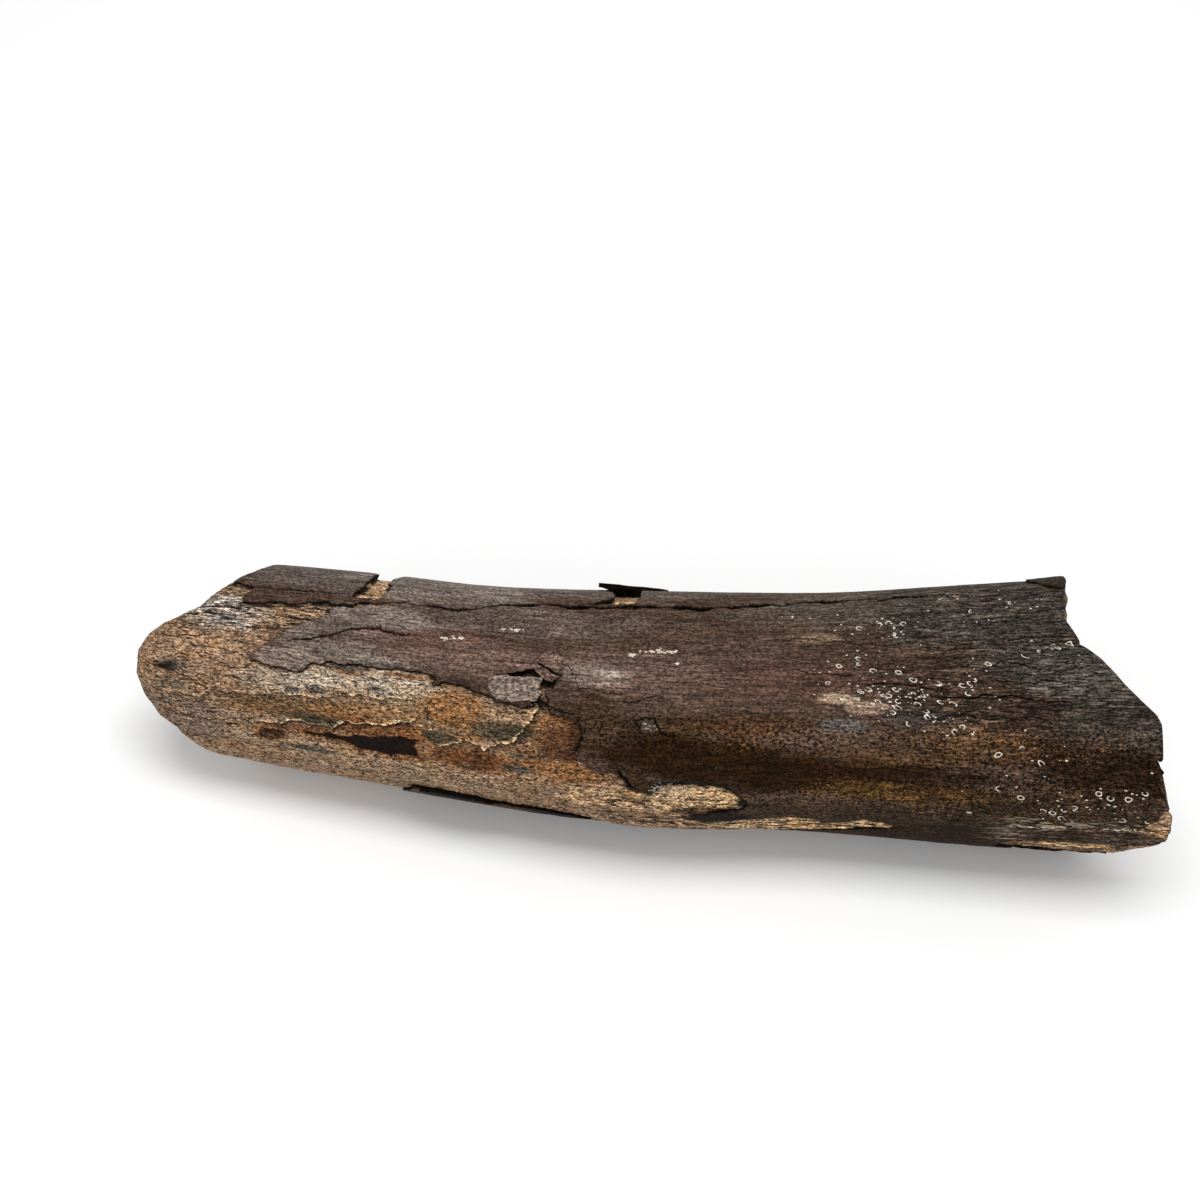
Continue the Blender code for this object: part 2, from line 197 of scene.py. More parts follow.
# Thin layers of the bared bone, and its dark lens-shaped hollow
LAYERS = {
    "pale": (
        (-250, 55), (-208, 51), (-200, 49), (-193, 50.5), (-187, 47), (-184, 44), (-178, 46), (-172, 44.5),
        (-165, 44), (-158, 42), (-154, 40.5), (-146, 40.5), (-140, 41.5), (-133, 39), (-124, 37.5),
        (-116, 36.5), (-107, 35), (-100, 34.5), (-95, 33), (-90, 32), (-88, 27), (-80, 10), (-100, -30),
        (-250, -30),
    ),
    "olive": (
        (-250, 66), (-200, 60), (-180, 66), (-166, 62), (-159, 60.5), (-152, 58), (-146, 56), (-140, 57.5),
        (-136, 56), (-132, 59), (-130, 55), (-127, 52), (-120, 52.5), (-113, 52), (-106, 50), (-101, 48),
        (-97, 46), (-93, 40), (-88, 27), (-100, -30), (-250, -30),
    ),
    "island": (
        (-92, 42), (-91, 48), (-90, 54), (-88.5, 61), (-84.5, 57), (-80.5, 54.5), (-76.5, 51.5),
        (-71.5, 53), (-67, 56.5), (-64, 53), (-61, 51), (-55, 49.5), (-51, 43), (-47.5, 37), (-45.5, 31),
        (-52, 24), (-80, 20), (-94, 26), (-90, 34),
    ),
    "lens": (
        (-146, 63.5), (-142, 62), (-133.5, 61), (-130, 62), (-125.5, 62), (-118.5, 60), (-110, 58),
        (-103, 56.5), (-95.5, 57.5), (-94.5, 69.5), (-104.5, 70), (-115.5, 69.5), (-124.5, 67), (-131, 65),
        (-139, 64.5),
    ),
    "lens_spot": ((-165, 67.5), (-162, 65), (-154, 64), (-153.5, 68), (-160, 71.5), (-165, 71)),
}

# Cracks in the bared bone, as (route, half width, depth)
BONE_CRACKS = (
    (((-216, 34), (-209, 36), (-205, 38), (-198, 39), (-191, 43), (-185, 45)), 0.5, 0.9),
    (((-203, 33), (-208, 36), (-204, 38)), 1.6, 1.4),
    (((-182, -4), (-168, -6), (-150, -5), (-141, -7)), 0.35, 0.6),
    (((-176, 1), (-164, 2), (-156, 3)), 0.35, 0.6), (((-196, 22), (-184, 20), (-172, 23)), 0.3, 0.5),
    (((-126, 70), (-112, 73), (-100, 72)), 0.4, 0.6),
)
# Fine long splits of the bared bone, all of one width and depth
FISSURES = (
    ((-201, -5), (-189, -7.5), (-175.5, -9)), ((-204.5, 6.5), (-187, 4), (-175, 4), (-160.5, 3.5)),
    ((-210, 17), (-198.5, 14), (-187.5, 12)), ((-184.5, 34.5), (-174.5, 36), (-162, 35)),
    ((-202, 65.5), (-187, 65.5), (-172, 65)), ((-185.5, 78), (-168, 79), (-153, 76)),
    ((-144.5, 90), (-124.5, 87.5), (-107, 87)), ((-82.5, 83), (-64.5, 82), (-47, 87.5)),
    ((-36, 81.5), (-24.5, 82), (-15, 82)), ((-34.5, 70), (-23.5, 69.5), (-11.5, 70.5)),
    ((-11.5, 78.5), (-3, 77), (5.5, 77.5)), ((-2.5, 90), (7, 90), (17, 91)),
    ((5.5, 79.5), (14, 80), (21.5, 82)), ((16, 73.5), (23.5, 75), (33, 74.5)),
    ((25.5, 67.5), (31.5, 67.5), (38, 69.5)),
)
FISSURE_HALF = 0.38
FISSURE_DEPTH = 0.75

# ---------------- sizes of the meshes' cells

BONE_CELL = 0.62
BARE_HIDDEN_STEP = 3
COVERED_STEP = 7
SKIN_CELL = 0.86
SKIN_HIDDEN_STEP = 3
SKIN_ROOT_STEP = 6.0
LEDGE_CELL = 0.55
CRACK_CELL = 0.8
BONE_CRACK_CELL = 0.6
SPLIT_CELL = 1.1
FLAKE_CELL = 0.8
# The end faces' cell, as a share of their radius
FACE_CELL = 1.15 / 48.0
VIEW_FROM = -72.0
VIEW_TO = 118.0
WELD = 1e-6
SHARP_ANGLE = math.radians(50.0)
RASTER = 0.3
RASTER_MARGIN = 6.0
FIELD_LIMIT = 6.0
BATCH = 4000000

# How far lines stray to the side, as a share of the length between their points
OUTLINE_ROUGHNESS = 0.15
LEDGE_ROUGHNESS = 0.16
CRACK_ROUGHNESS = 0.12
SPLIT_ROUGHNESS = 0.1
FLAKE_ROUGHNESS = 0.11

# Seeds of the random draws. In a list, each item's seed is 1 more than the one before.
SHAKE_SEED = 5
SPLIT_SEED = 40
LEDGE_SEED = 50
MARK_SEED = 77
CRACK_SEED = 200
BONE_CRACK_SEED = 240
CURL_SEED = 260
FLAKE_SEED = 300
FLAKE_NOISE_SEED = 331
BONE_STAIN_SEED = 41
SKIN_STAIN_SEED = 151

# Noise over the shaft: its size along and around it in mm, seed and number of layers
NOISES = {
    "bone_coarse": ((34.0, 13.0), 3, 3), "bone_ridges": ((12.0, 1.7), 11, 3),
    "bone_threads": ((5.0, 1.1), 17, 2), "bone_ledges": ((26.0, 5.5), 23, 3),
    "rim_patches": ((9.0, 9.0), 43, 3), "rim_width": ((5.0, 3.0), 45, 3), "sand": ((6.0, 3.0), 47, 3),
    "lens_edge": ((5.0, 2.5), 49, 3), "skin_swell": ((52.0, 24.0), 101, 3),
    "skin_dents": ((9.0, 3.2), 107, 3), "skin_flaking": ((30.0, 9.0), 113, 3),
    "skin_grit": ((2.6, 2.0), 127, 2), "skin_ripples": ((15.0, 2.3), 131, 3),
    "skin_warp": ((18.0, 18.0), 137, 3),
}
STAIN_WANDER = (26.0, 10.0)
STAIN_FRAY = (7.0, 2.4)
FLAKE_ROUGH_SIZE = (6.0, 2.4)
PIT_SIZE = (6.0, 1.9)
PIT_SEED = 31
SPONGE_SIZE = (2.6, 2.2)
FACE_ROUGH_SIZE = (5.0, 5.0)

# ---------------- relief of the bared bone

SWELL = 1.1
COARSE_RELIEF = 0.3
RIDGE_RELIEF = 0.2
THREAD_RELIEF = 0.12
WOODY_GAIN = 1.3
LEDGE_RELIEF = 0.3
PIT_RELIEF = 0.3
PIT_RANGE = (0.44, 0.24)
BONE_TOP = -0.15
COVERED_DROP = -0.5
RIM_SETBACK = 0.35

# How far the bone steps down outside its layers and in the lens, and the layers' blurred edges
STEP_BLUR = 0.4
STEPS_BEGIN = (-190.0, -178.0)
BAND_DROP = 0.8
BAND_END = (69.0, 57.0)
HOLLOW_DROP = 0.95
HOLLOW_BEGIN = (18.0, 26.0)
HOLLOW_BLEND = 10.0
HOLLOW_FOOT = ((-190, 62), (-150, 66), (-100, 69), (-60, 68), (-40, 64), (-26, 54))
LENS_DROP = 0.45
ISLAND_RIM = 0.3
ISLAND_RIM_WIDTH = 2.2
DEEP_SCARS = {"gap": 0.5, "chip": 0.8, "chip_pit": 1.2, "split0": 1.5}

RIM_WIDTH = 0.9
# Each layer's pale rim: layer, from x, to x, strength, and how dark the painted shade below the rim is
LAYER_EDGES = (
    ("pale", -206.0, -97.0, 0.65, 0.5), ("olive", -167.0, -95.0, 1.0, 0.8),
    ("island", -90.0, 0.0, 0.85, 0.6),
)

# Zones, as (start, full from, full to, end). They are of angles, but for SWELL_ALONG and HOLLOW_LIP,
# which are of x.
WOODY_TOP = (-34.0, -26.0, 0.0, 14.0)
WOODY_FRONT = (68.0, 80.0, 128.0, 140.0)
SWELL_AROUND = (78.0, 90.0, 126.0, 138.0)
SWELL_ALONG = (-30.0, 0.0, 106.0, 130.0)
GRITTY = (24.0, 38.0, 98.0, 112.0)
POLISHED = (40.0, 48.0, 58.0, 66.0)
# The glint zones say where painted highlights glint on the skin's grit
GLINT_UPPER = (28.0, 34.0, 40.0, 50.0)
GLINT_LOWER = (54.0, 60.0, 78.0, 88.0)
STRIAE = (71.0, 77.0, 96.0, 106.0)
HOLLOW_LIP = (-1.0, 3.0, 45.0, 49.0)

# Ranges, as (none up to, full from), or the other way round, of x or of angles
WOODY_FRONT_X = (-60.0, 0.0)
ISLAND_RIM_X = (-62.0, -54.0)
ISLAND_RIM_ANGLE = (45.0, 49.0)
SANDY_X = (-92.0, -102.0)
FLAKED_ANGLE = (-60.0, -30.0)
POLISHED_X = (130.0, 90.0)
RIPPLED_X = (60.0, 120.0)
GLINT_UPPER_X = (20.0, 50.0)
GLINT_LOWER_X = (50.0, 80.0)
GLINT_END_X = (200.0, 184.0)
STRIAE_X = (134.0, 160.0)

# ---------------- relief of the skin

SKIN_SWELL = 0.32
DENT_RELIEF = 0.09
FLAKED_DEPTH = 0.22
GRIT_RELIEF = 0.1
POLISH = 0.7
RIPPLE_RELIEF = 0.24
EDGE_WARP = 0.35
EDGE_WARP_REACH = 4.0
EDGE_WEAR = 0.22
EDGE_WEAR_REACH = 0.7
SKIN_TOP = 1.4
# Strength of the painted glint highlights
GLINT = 0.6

# ---------------- the end faces

# As (share of the radius, depth), as in the solid
WORN_FACE = ((1.0, 0.0), (0.62, 0.5), (0.42, 2.5), (0.22, 3.5), (0.0, 4.0))
BROKEN_FACE = (
    (1.0, 0.0), (0.93, -1.2), (0.82, 0.6), (0.66, 1.0), (0.58, 5.5), (0.38, 8.0), (0.18, 6.5), (0.0, 7.0),
)
FACE_LUMP = 1.6
FACE_ROUGHNESS = 0.9
SPONGE_DEPTH = 1.9
SPONGE_LIFT = 0.4
# Outline, profile, way into the bone, rounding of the rim, edge of the map, colour and seed
END_FACES = (
    (WORN_END, WORN_FACE, 1.0, WORN_ROUNDING, 0.0, "tan", 61),
    (BROKEN_END, BROKEN_FACE, -1.0, 0.0, MAP_LENGTH, "end_bone", 71),
)

# ---------------- colours, as 8-bit sRGB

PALETTE = {
    "tan": (142, 116, 92), "pink_tan": (158, 130, 104), "grey_tan": (172, 163, 153),
    "pale": (171, 157, 139), "bright_tan": (200, 166, 128), "golden": (203, 171, 130),
    "low_tan": (156, 133, 109), "dun": (120, 103, 88), "olive_bone": (98, 72, 44), "moss": (66, 60, 46),
    "honey": (138, 104, 68), "orange": (144, 101, 61), "rust_bone": (126, 82, 45),
    # The pore colour here is both the bone's dark pores and painted shade in its hollows, cracks and gaps
    "red_brown": (66, 37, 19), "lens": (20, 12, 8), "blue_grey": (78, 76, 72), "pore_and_shade": (28, 19, 13),
    "rim": (206, 180, 142), "end_bone": (126, 102, 76), "core": (80, 60, 42), "soil": (84, 62, 42),
    "plate": (90, 79, 73), "plate_light": (108, 97, 89), "chocolate": (70, 54, 44), "purple": (98, 78, 69),
    "violet": (76, 59, 52), "red": (90, 61, 52), "rust": (60, 38, 21), "dark": (34, 19, 6),
    "slate": (66, 61, 55), "slate_light": (84, 77, 70), "cream": (160, 136, 114), "ochre": (75, 52, 29),
    "umber": (52, 37, 23), "olive": (68, 47, 23), "blue_dark": (72, 68, 65), "bottom": (44, 33, 21),
    # The wall colour here is painted shade, on the skin's broken edges and on the flakes' undersides.
    "striped": (58, 48, 38), "grey_plate": (120, 105, 95), "chip_grey": (109, 95, 86), "wall": (18, 12, 9),
    # On this line: the crack black is painted shade in cracks and also draws hairlines, the pale orange is a
    # painted glint highlight, and the black after it is dark skin with painted shade.
    "crack": (8, 6, 5), "glint_highlight": (150, 110, 68), "shadowed_skin": (18, 13, 10), "streak": (158, 144, 124),
    "shell": (226, 216, 200), "cream_shell": (216, 204, 182), "green_shell": (176, 170, 148),
    "orange_chip": (186, 122, 76), "fluff": (196, 188, 174),
}

# Filters over a colour, as factors of red, green and blue
RUSTY = (1.03, 0.9, 0.74)
ASHEN = (0.88, 0.95, 1.03)
SLATY = (0.5, 0.53, 0.56)
FOXED = (0.87, 0.67, 0.5)

# Stains as (x, angle, reach along, reach around, colour, strength)
BONE_STAINS = (
    (-185, -4, 18, 14, "grey_tan", 0.8), (-190, 18, 16, 12, "pink_tan", 0.8),
    # The dun stain low on the worn end is painted shade, where the rounded end turns down and to the left.
    (-204, 66, 28, 20, "dun", 0.85), (-150, 33, 26, 8, "pale", 0.6), (-126, 29, 30, 8, "pale", 0.75),
    (-105, 26, 18, 6, "pale", 0.8), (-150, 38, 3.5, 1.6, "blue_grey", 0.95),
    (-139, 36, 6, 2.2, "blue_grey", 0.8), (-114, 31.5, 4, 1.6, "blue_grey", 0.8),
    (-203, 44, 8, 4, "blue_grey", 0.5), (-180, -1, 7, 3, "blue_grey", 0.5),
    (-150, 50, 34, 7, "olive_bone", 0.8), (-120, 46, 26, 7, "honey", 0.8), (-80, 37, 15, 9, "orange", 0.85),
    (-40, 42, 12, 12, "orange", 0.75), (-112, 54, 32, 5, "rust_bone", 0.8),
    (-66, 45, 22, 7, "olive_bone", 0.6), (-72, 64, 24, 8, "rust_bone", 0.9),
    (-34, 48, 12, 10, "red_brown", 0.8), (-28, 56, 8, 8, "red_brown", 0.7), (-32, 63, 20, 6, "orange", 0.8),
    (-140, 72, 40, 4, "low_tan", 0.8), (-112, 84, 60, 10, "low_tan", 0.7), (-44, 78, 30, 8, "tan", 0.7),
    (-10, 78, 28, 10, "bright_tan", 0.7), (20, 73, 26, 9, "golden", 0.95), (70, 98, 60, 12, "golden", 0.85),
    (24, 84, 12, 4, "soil", 0.8), (-118, -40, 14, 20, "pink_tan", 0.9),
    (-118, -40, 14, 20, "bright_tan", 0.45), (-18, -38, 20, 12, "golden", 0.95),
    (180, 92, 40, 10, "striped", 0.9), (182, 102, 22, 3, "golden", 0.8),
    (212, 76, 10, 9, "bright_tan", 0.7), (-170, 150, 60, 60, "low_tan", 0.7),
    (-150, -120, 60, 40, "grey_tan", 0.6), (-204, 34.5, 6, 3.6, "slate", 0.95),
    (60, -110, 70, 30, "soil", 0.6), (-127, 22, 11, 2.6, "slate_light", 0.9),
    (-140, 74, 14, 1.6, "blue_grey", 0.85), (-150, 61, 14, 2.5, "rust_bone", 0.7),
    (-140, 53.6, 14, 2.8, "moss", 0.95), (-58, 44.5, 15, 5.5, "moss", 0.9), (-86, 53, 8, 3.6, "moss", 0.95),
    (208, 52, 10, 10, "core", 0.9), (90, 94, 24, 10, "bright_tan", 0.6),
    (-72, 65.5, 14, 7, "red_brown", 0.65), (-46, 56.5, 13, 2.5, "red_brown", 0.5),
    (-54, 66, 8, 2.2, "blue_grey", 0.9), (-28, 43, 5, 8, "red_brown", 0.75),
    (-126, 24.8, 9, 1.2, "rust_bone", 0.85), (-101, 22.4, 11, 1.3, "rust_bone", 0.85),
    # The three pore stains in the chip's pit are painted shadow, in the gaps beside the loose flakes there.
    (-52, 14, 16, 3.4, "pore_and_shade", 0.9), (-43, 17, 3, 2, "pore_and_shade", 0.9), (-45.8, 27.8, 3, 3.2, "pore_and_shade", 0.95),
)
SKIN_STAINS = (
    # The lighter plate stains on the upper plates are partly painted sheen, where light glances off them.
    (-152, -42, 40, 20, "plate", 0.95), (-84, -46, 50, 22, "plate_light", 0.95),
    (-20, -50, 50, 14, "plate", 0.7), (-130, 8, 40, 15, "plate_light", 0.85),
    (-152, 20, 20, 8, "grey_plate", 0.9), (-90, 1, 36, 11, "red", 0.65), (-124, 5, 22, 6, "red", 0.35),
    (-76, 8, 34, 12, "purple", 0.8), (-50, -20, 60, 12, "plate", 0.5), (-12, 8, 36, 14, "purple", 0.8),
    (-20, 28, 26, 8, "chocolate", 0.8), (28, 0, 40, 16, "violet", 0.6), (58, 10, 34, 12, "red", 0.32),
    (80, -34, 60, 16, "slate_light", 0.5), (76, 19.5, 9, 3.4, "cream", 0.7),
    (87, 24, 10, 3.4, "cream", 0.65), (68, -14, 10, 4, "cream", 0.3), (8, 38, 34, 10, "umber", 0.8),
    (-24, 36, 14, 14, "umber", 0.7), (34, 19, 26, 8, "purple", 0.15), (-21, 11, 17, 7, "grey_plate", 0.75),
    (-18, 9.5, 8, 3.0, "grey_tan", 0.2), (-24, 21.8, 6, 1.8, "dark", 0.8),
    # The dark stains on the lower front, at angles 48 to 56, are partly painted shade: they darken the side
    # that turns away from the overhead light.
    (-120, -11, 30, 8, "plate_light", 0.95), (38, 33, 34, 6, "rust", 0.7), (15, 48, 44, 13, "dark", 1.0),
    (60, 56, 60, 11, "dark", 1.0), (79, 32.5, 12, 4.5, "blue_dark", 0.85),
    (109, 29, 16, 6, "blue_dark", 0.5), (122, 37, 30, 6, "ochre", 0.4), (102, 46, 30, 5, "ochre", 0.55),
    (142, 42, 36, 6, "ochre", 0.5), (112, 63, 42, 7, "olive", 0.9), (115, 54, 30, 5, "dark", 0.7),
    (184, 48, 34, 18, "dark", 0.85), (190, 28, 30, 14, "slate", 0.85), (142, -22, 50, 18, "slate", 0.85),
    (160, 4, 34, 14, "slate", 0.85), (128, -40, 30, 10, "red", 0.25), (140, 22, 34, 6, "chocolate", 0.7),
    # The stains low at the front and underneath, on this line and at angle 99 on the next, are partly painted
    # shade: they darken the lower side, which light bounced from the floor would brighten.
    (170, 78, 60, 16, "bottom", 0.9), (60, 84, 60, 12, "bottom", 0.8), (0, 160, 200, 50, "bottom", 0.6),
    (206, 24, 26, 30, "dark", 0.3), (135, 99, 90, 12, "dark", 0.95), (0, 34.5, 4, 2.8, "slate", 0.8),
    # The near-black stain at angle 89 is the dark skin's own colour with painted shade.
    (31, 89, 13, 7, "shadowed_skin", 0.95), (172, 10, 26, 12, "slate_light", 0.9), (172, 28, 22, 10, "bottom", 0.2),
    (140, -44, 60, 14, "slate", 0.6), (20, -110, 160, 36, "dark", 0.5),
    (122, -40, 14, 5, "slate_light", 0.6),
)

# ---------------- loose flakes and pale marks

# Each flake: outline, lift at its start and its end along the shaft, rise across, thickness, colour
FLAKES = (
    (
        (
            (-26, -59), (-24, -64), (-20, -70), (-12, -74), (-2, -70), (4, -62), (0, -57), (-4, -58.5),
            (-9, -56.5), (-13, -57.5), (-17, -55), (-21, -56.5),
        ),
        # This flake's near-black colour is painted shade, the look of the lifted slab's shaded side.
        3.0, 0.5, 0.6, 1.9, "shadowed_skin",
    ),
    (
        (
            (-66.5, 17), (-64, 15.5), (-54.5, 15), (-45, 14.5), (-44.5, 22.5), (-46.5, 26.8), (-54, 27.4),
            (-63.5, 27.4), (-66.3, 23.5),
        ),
        0.9, 1.3, -0.9, 3.0, "chip_grey",
    ),
    (
        ((-49.5, 7.9), (-48.2, 6.5), (-43, 9.8), (-37.7, 13), (-40.5, 16.2), (-44.5, 14.8)),
        1.7, 1.0, 0.5, 2.4, "purple",
    ),
    (
        ((-47.8, 5.2), (-44, -0.8), (-40, 0.2), (-36.3, 1.5), (-35.8, 5), (-36.9, 11.8), (-42.8, 8.5)),
        1.0, 0.6, -0.5, 1.6, "purple",
    ),
    (
        ((158, -60), (170, -54), (170.5, -46), (168, -40), (164, -42), (160, -46), (155, -52)),
        0.9, 1.8, 0.0, 1.5, "bottom",
    ),
    (
        ((-9.5, 53), (-3.5, 53.5), (2.5, 63), (0.5, 69), (-2.5, 68), (-7.5, 58.5)),
        0.5, 0.9, -0.6, 1.8, "umber",
    ),
    # The next two flakes, low at the front, are near-black: the dark skin's own colour with painted shade.
    (
        ((-96, 97), (-88, 95.5), (-78, 96), (-68, 97.5), (-64, 100), (-76, 103), (-92, 103)),
        0.4, 0.7, -0.6, 2.0, "shadowed_skin",
    ),
    (
        ((-52, 100), (-44, 99.5), (-30, 101), (-22, 103), (-26, 106), (-40, 107), (-50, 105)),
        -0.4, -0.2, -0.4, 1.6, "shadowed_skin",
    ),
)
FLAKE_GRIT = 0.35

# Smallest and largest size of each kind of mark, its stroke's width, and how far round it goes
MARK_SIZES = {
    "hook": (0.6, 1.15), "ring": (0.8, 1.1), "fibre": (1.0, 2.4), "drop": (0.6, 1.3), "crumb": (0.2, 0.66),
    "speck": (0.16, 0.46),
}
MARK_WIDTH = {"hook": 0.38, "ring": 0.38, "fibre": 0.16}
MARK_SWEEP = {"hook": (170.0, 300.0), "ring": (360.0, 360.0), "fibre": (50.0, 120.0)}
MARK_ROOT = 0.3
MARK_RISE = 0.09
BLOT_CORNERS = 14
# Marks as (kind, colour, places), with specks strewn around those of the first
MARKS = (
    (
        "hook", "shell",
        (
            (84, -20), (92, -22), (96, -23), (98, -16), (99, -15), (102, -22), (84, -2), (84, 1), (90, 5),
            (106, 10), (72, 12), (85, 16), (88, 15), (94, 18), (96, 18), (99, 15), (106, 17), (110, 18),
            (116, 12), (92, 21), (100, 21), (98, 26), (100, 24), (108, 22), (111, 25), (112, 28), (105, 31),
            (117, 21), (122, 22), (123, 34), (126, 32), (130, 34), (126, 13), (130, 10), (128, 17),
            (56, -28), (151, -2), (157, -4), (164, -6), (150, 40), (158, 46), (143, 58), (187, 60),
            (200, 57), (162, 69), (170, 68), (174, 66), (170, 73), (194, 72), (204, 72), (129, 12),
            (118, -38), (146, -32), (130, -28),
        ),
    ),
    (
        "ring", "shell",
        ((76, 2), (100, 6), (136, 2), (168, -8), (141, 43), (152, 62), (182, 58), (194, 60), (166, 70)),
    ),
    ("drop", "cream_shell", ((78, 20), (124, -40), (10, 2), (133, 73), (90, 22), (-9, -1.6))),
    ("drop", "green_shell", ((80, 22), (84, 20))), ("drop", "orange_chip", ((125, -39),)),
    ("hook", "fluff", ((-27, 56.5), (-26.5, 58))),
    ("crumb", "pink_tan", ((-1.6, 33.4), (0.6, 34.6), (2.4, 34.2), (3.6, 35.6), (1.0, 36.6), (-0.6, 35.6))),
    ("ring", "pink_tan", ((-75, 67.5),)),
)
SPECK_COUNT = 220
SPECK_SPREAD = (9.0, 5.0)
FLUFF_MIDDLE = (9.0, 66.0)
FLUFF_SPREAD = (4.0, 1.9)
FLUFF_COUNT = 46
# Streaks of crumbs, as (from, to, number)
CRUMBS = (
    ((-10.5, -1.4), (-5.5, -3.4), 7), ((-3.5, -3.4), (9.5, -4.8), 28), ((0.0, -5.4), (4.0, -5.6), 8),
    ((-88, -3), (-78, -5.4), 22), ((-66, -13), (-54, -14.6), 24), ((150, 82), (178, 79), 26),
    ((184, 80), (204, 78), 20),
)
CRUMB_SPREAD = 0.45

# ---------------- camera and light

CAMERA_AIM = (-0.0252, 0.0695, 0.0)
CAMERA_AZIMUTH = 4.5
CAMERA_ELEVATION = 60.0
CAMERA_DISTANCE = 0.9365
CAMERA_LENS = 60.0
CAMERA_SENSOR = 36.0
FLOOR_HALF = 4.0
FLOOR_Z = -0.0002
FLOOR_COLOUR = (0.9, 0.9, 0.9, 1.0)
ROOM_COLOUR = (1.0, 1.0, 1.0, 1.0)
ROOM_STRENGTH = 0.6
LIGHTS = (
    ("softbox_overhead", (0.0, 0.12, 1.3), (0.9, 0.45), 11.0),
    ("softbox_front", (0.1, -1.3, 0.75), (1.2, 0.6), 3.0),
)


# ---------------- the shaft's form

def smooth_step(value):
    clipped = np.clip(value, 0.0, 1.0)
    return clipped * clipped * (3.0 - 2.0 * clipped)


def ramp(value, start, end):
    """0 before the start and 1 past the end, smooth between them. The end may be the lower one."""
    return smooth_step((value - start) / (end - start))


def window(value, zone):
    """1 in the middle of a zone (start, full from, full to, end), falling smoothly to 0 at its ends."""
    start, full_from, full_to, end = zone
    return ramp(value, start, full_from) * ramp(value, end, full_to)


def along_shaft(values, x):
    """Values at x of a smooth curve through values that stand every STATION_STEP."""
    padded = np.array((2 * values[0] - values[1], *values, 2 * values[-1] - values[-2]))
    where = (np.asarray(x, float) - STATION_START) / STATION_STEP
    index = np.clip(np.floor(where).astype(int), 0, len(values) - 2)
    t = where - index
    a, b, c, d = (padded[index + step] for step in range(4))
    return 0.5 * (2 * b + (c - a) * t + (2 * a - 5 * b + 4 * c - d) * t**2 + (3 * b - a - 3 * c + d) * t**3)


def end_x(pairs, angle):
    """x of an end of the shaft at an angle."""
    angles, values = zip(*pairs)
    return np.interp((np.asarray(angle) + 90.0) % 360.0 - 90.0, angles, values)


def turn_between(angle, other):
    """How far an angle is turned from another, from -180 to 180 degrees."""
    return (angle - other + 180.0) % 360.0 - 180.0


def radius(x, angle):
    size = along_shaft(HALF_SIZE, x)
    turn = np.radians(angle)
    power = SQUARENESS + SQUARENESS_GAIN * x / SQUARENESS_SPAN
    height = size * np.where(np.cos(turn) > 0, TOP_RATIO, BOTTOM_RATIO)
    across = np.abs(np.sin(turn) / (DEPTH_RATIO * size)) ** power
    up = np.abs(np.cos(turn) / height) ** power
    away = turn_between(angle, RIDGE_ANGLE)
    ridge = RIDGE_HEIGHT * np.exp(-(away / RIDGE_WIDTH) ** 2 - (x / RIDGE_HALF_SPAN) ** 2)
    return (across + up) ** (-1.0 / power) + ridge


def axis_height(x):
    arch = ARCH_HEIGHT * np.maximum(0.0, 1.0 - (x / ARCH_HALF_SPAN) ** 2) ** 1.5
    worn = WORN_DROP * smooth_step((WORN_START - x) / WORN_BLEND)
    return BOTTOM_RATIO * along_shaft(HALF_SIZE, x) + arch - REST_DEPTH - worn


def polar_points(x, angle, distance):
    """Points in metres at a distance from the shaft's axis, none of them below z = 0."""
    turn = np.radians(angle)
    y = along_shaft(AXIS_Y, x) - distance * np.sin(turn)
    z = axis_height(x) + distance * np.cos(turn)
    return np.stack([x - MIDDLE_X, y, np.maximum(z, 0.0)], -1) * MM


# ---------------- the flat map

def flat_length(angle):
    """Length of the map's line at an angle, round the worn end's edge and on to the broken end."""
    return end_x(BROKEN_END, angle) - end_x(WORN_END, angle) + EDGE_GAIN


def on_map(places):
    """Map points of (x, angle) places: the share along the map's line, times its length, and the arc."""
    x, angle = np.array(places, float).T
    past = x - end_x(WORN_END, angle)
    turned = WORN_ROUNDING * np.arccos(np.clip(1.0 - past / WORN_ROUNDING, -1.0, 1.0))
    run = np.where(past < WORN_ROUNDING, turned, past + EDGE_GAIN)
    run = np.where(past < 0.0, past, run)
    return np.stack([run / flat_length(angle) * MAP_LENGTH, angle * ARC], -1)


def from_flat(flat):
    """x, angle and the drop of the worn end's rounded edge, of points on the map."""
    angle = flat[:, 1] / ARC
    run = flat[:, 0] / MAP_LENGTH * flat_length(angle)
    turn = np.clip(run / WORN_ROUNDING, 0.0, 0.5 * math.pi)
    rounded = run < 0.5 * math.pi * WORN_ROUNDING
    past = np.where(rounded, WORN_ROUNDING * (1.0 - np.cos(turn)), run - EDGE_GAIN)
    drop = WORN_ROUNDING * (1.0 - np.sin(turn))
    return end_x(WORN_END, angle) + past, angle, drop


def survey(flat):
    """x, angle and place of map points. The place is on a straight round bar, where noise has no seam."""
    x, angle, _ = from_flat(flat)
    turn = np.radians(angle)
    return x, angle, np.stack([x, NOISE_RADIUS * np.sin(turn), NOISE_RADIUS * np.cos(turn)], -1)


def map_position(flat, lift):
    """Points in metres at a lift above the skin over points on the map."""
    x, angle, drop = from_flat(flat)
    return polar_points(x, angle, radius(x, angle) + (lift - drop))


def within_map(flat, margin):
    """Which points are on the map, and further than a margin from its edges."""
    low = np.array((margin, MAP_BACK + margin))
    high = np.array((MAP_LENGTH - margin, MAP_FRONT - margin))
    return ((flat > low) & (flat < high)).all(-1)


def in_view(angle):
    """Which angles are on the camera's side."""
    return (angle > VIEW_FROM) & (angle < VIEW_TO)


# ---------------- noise

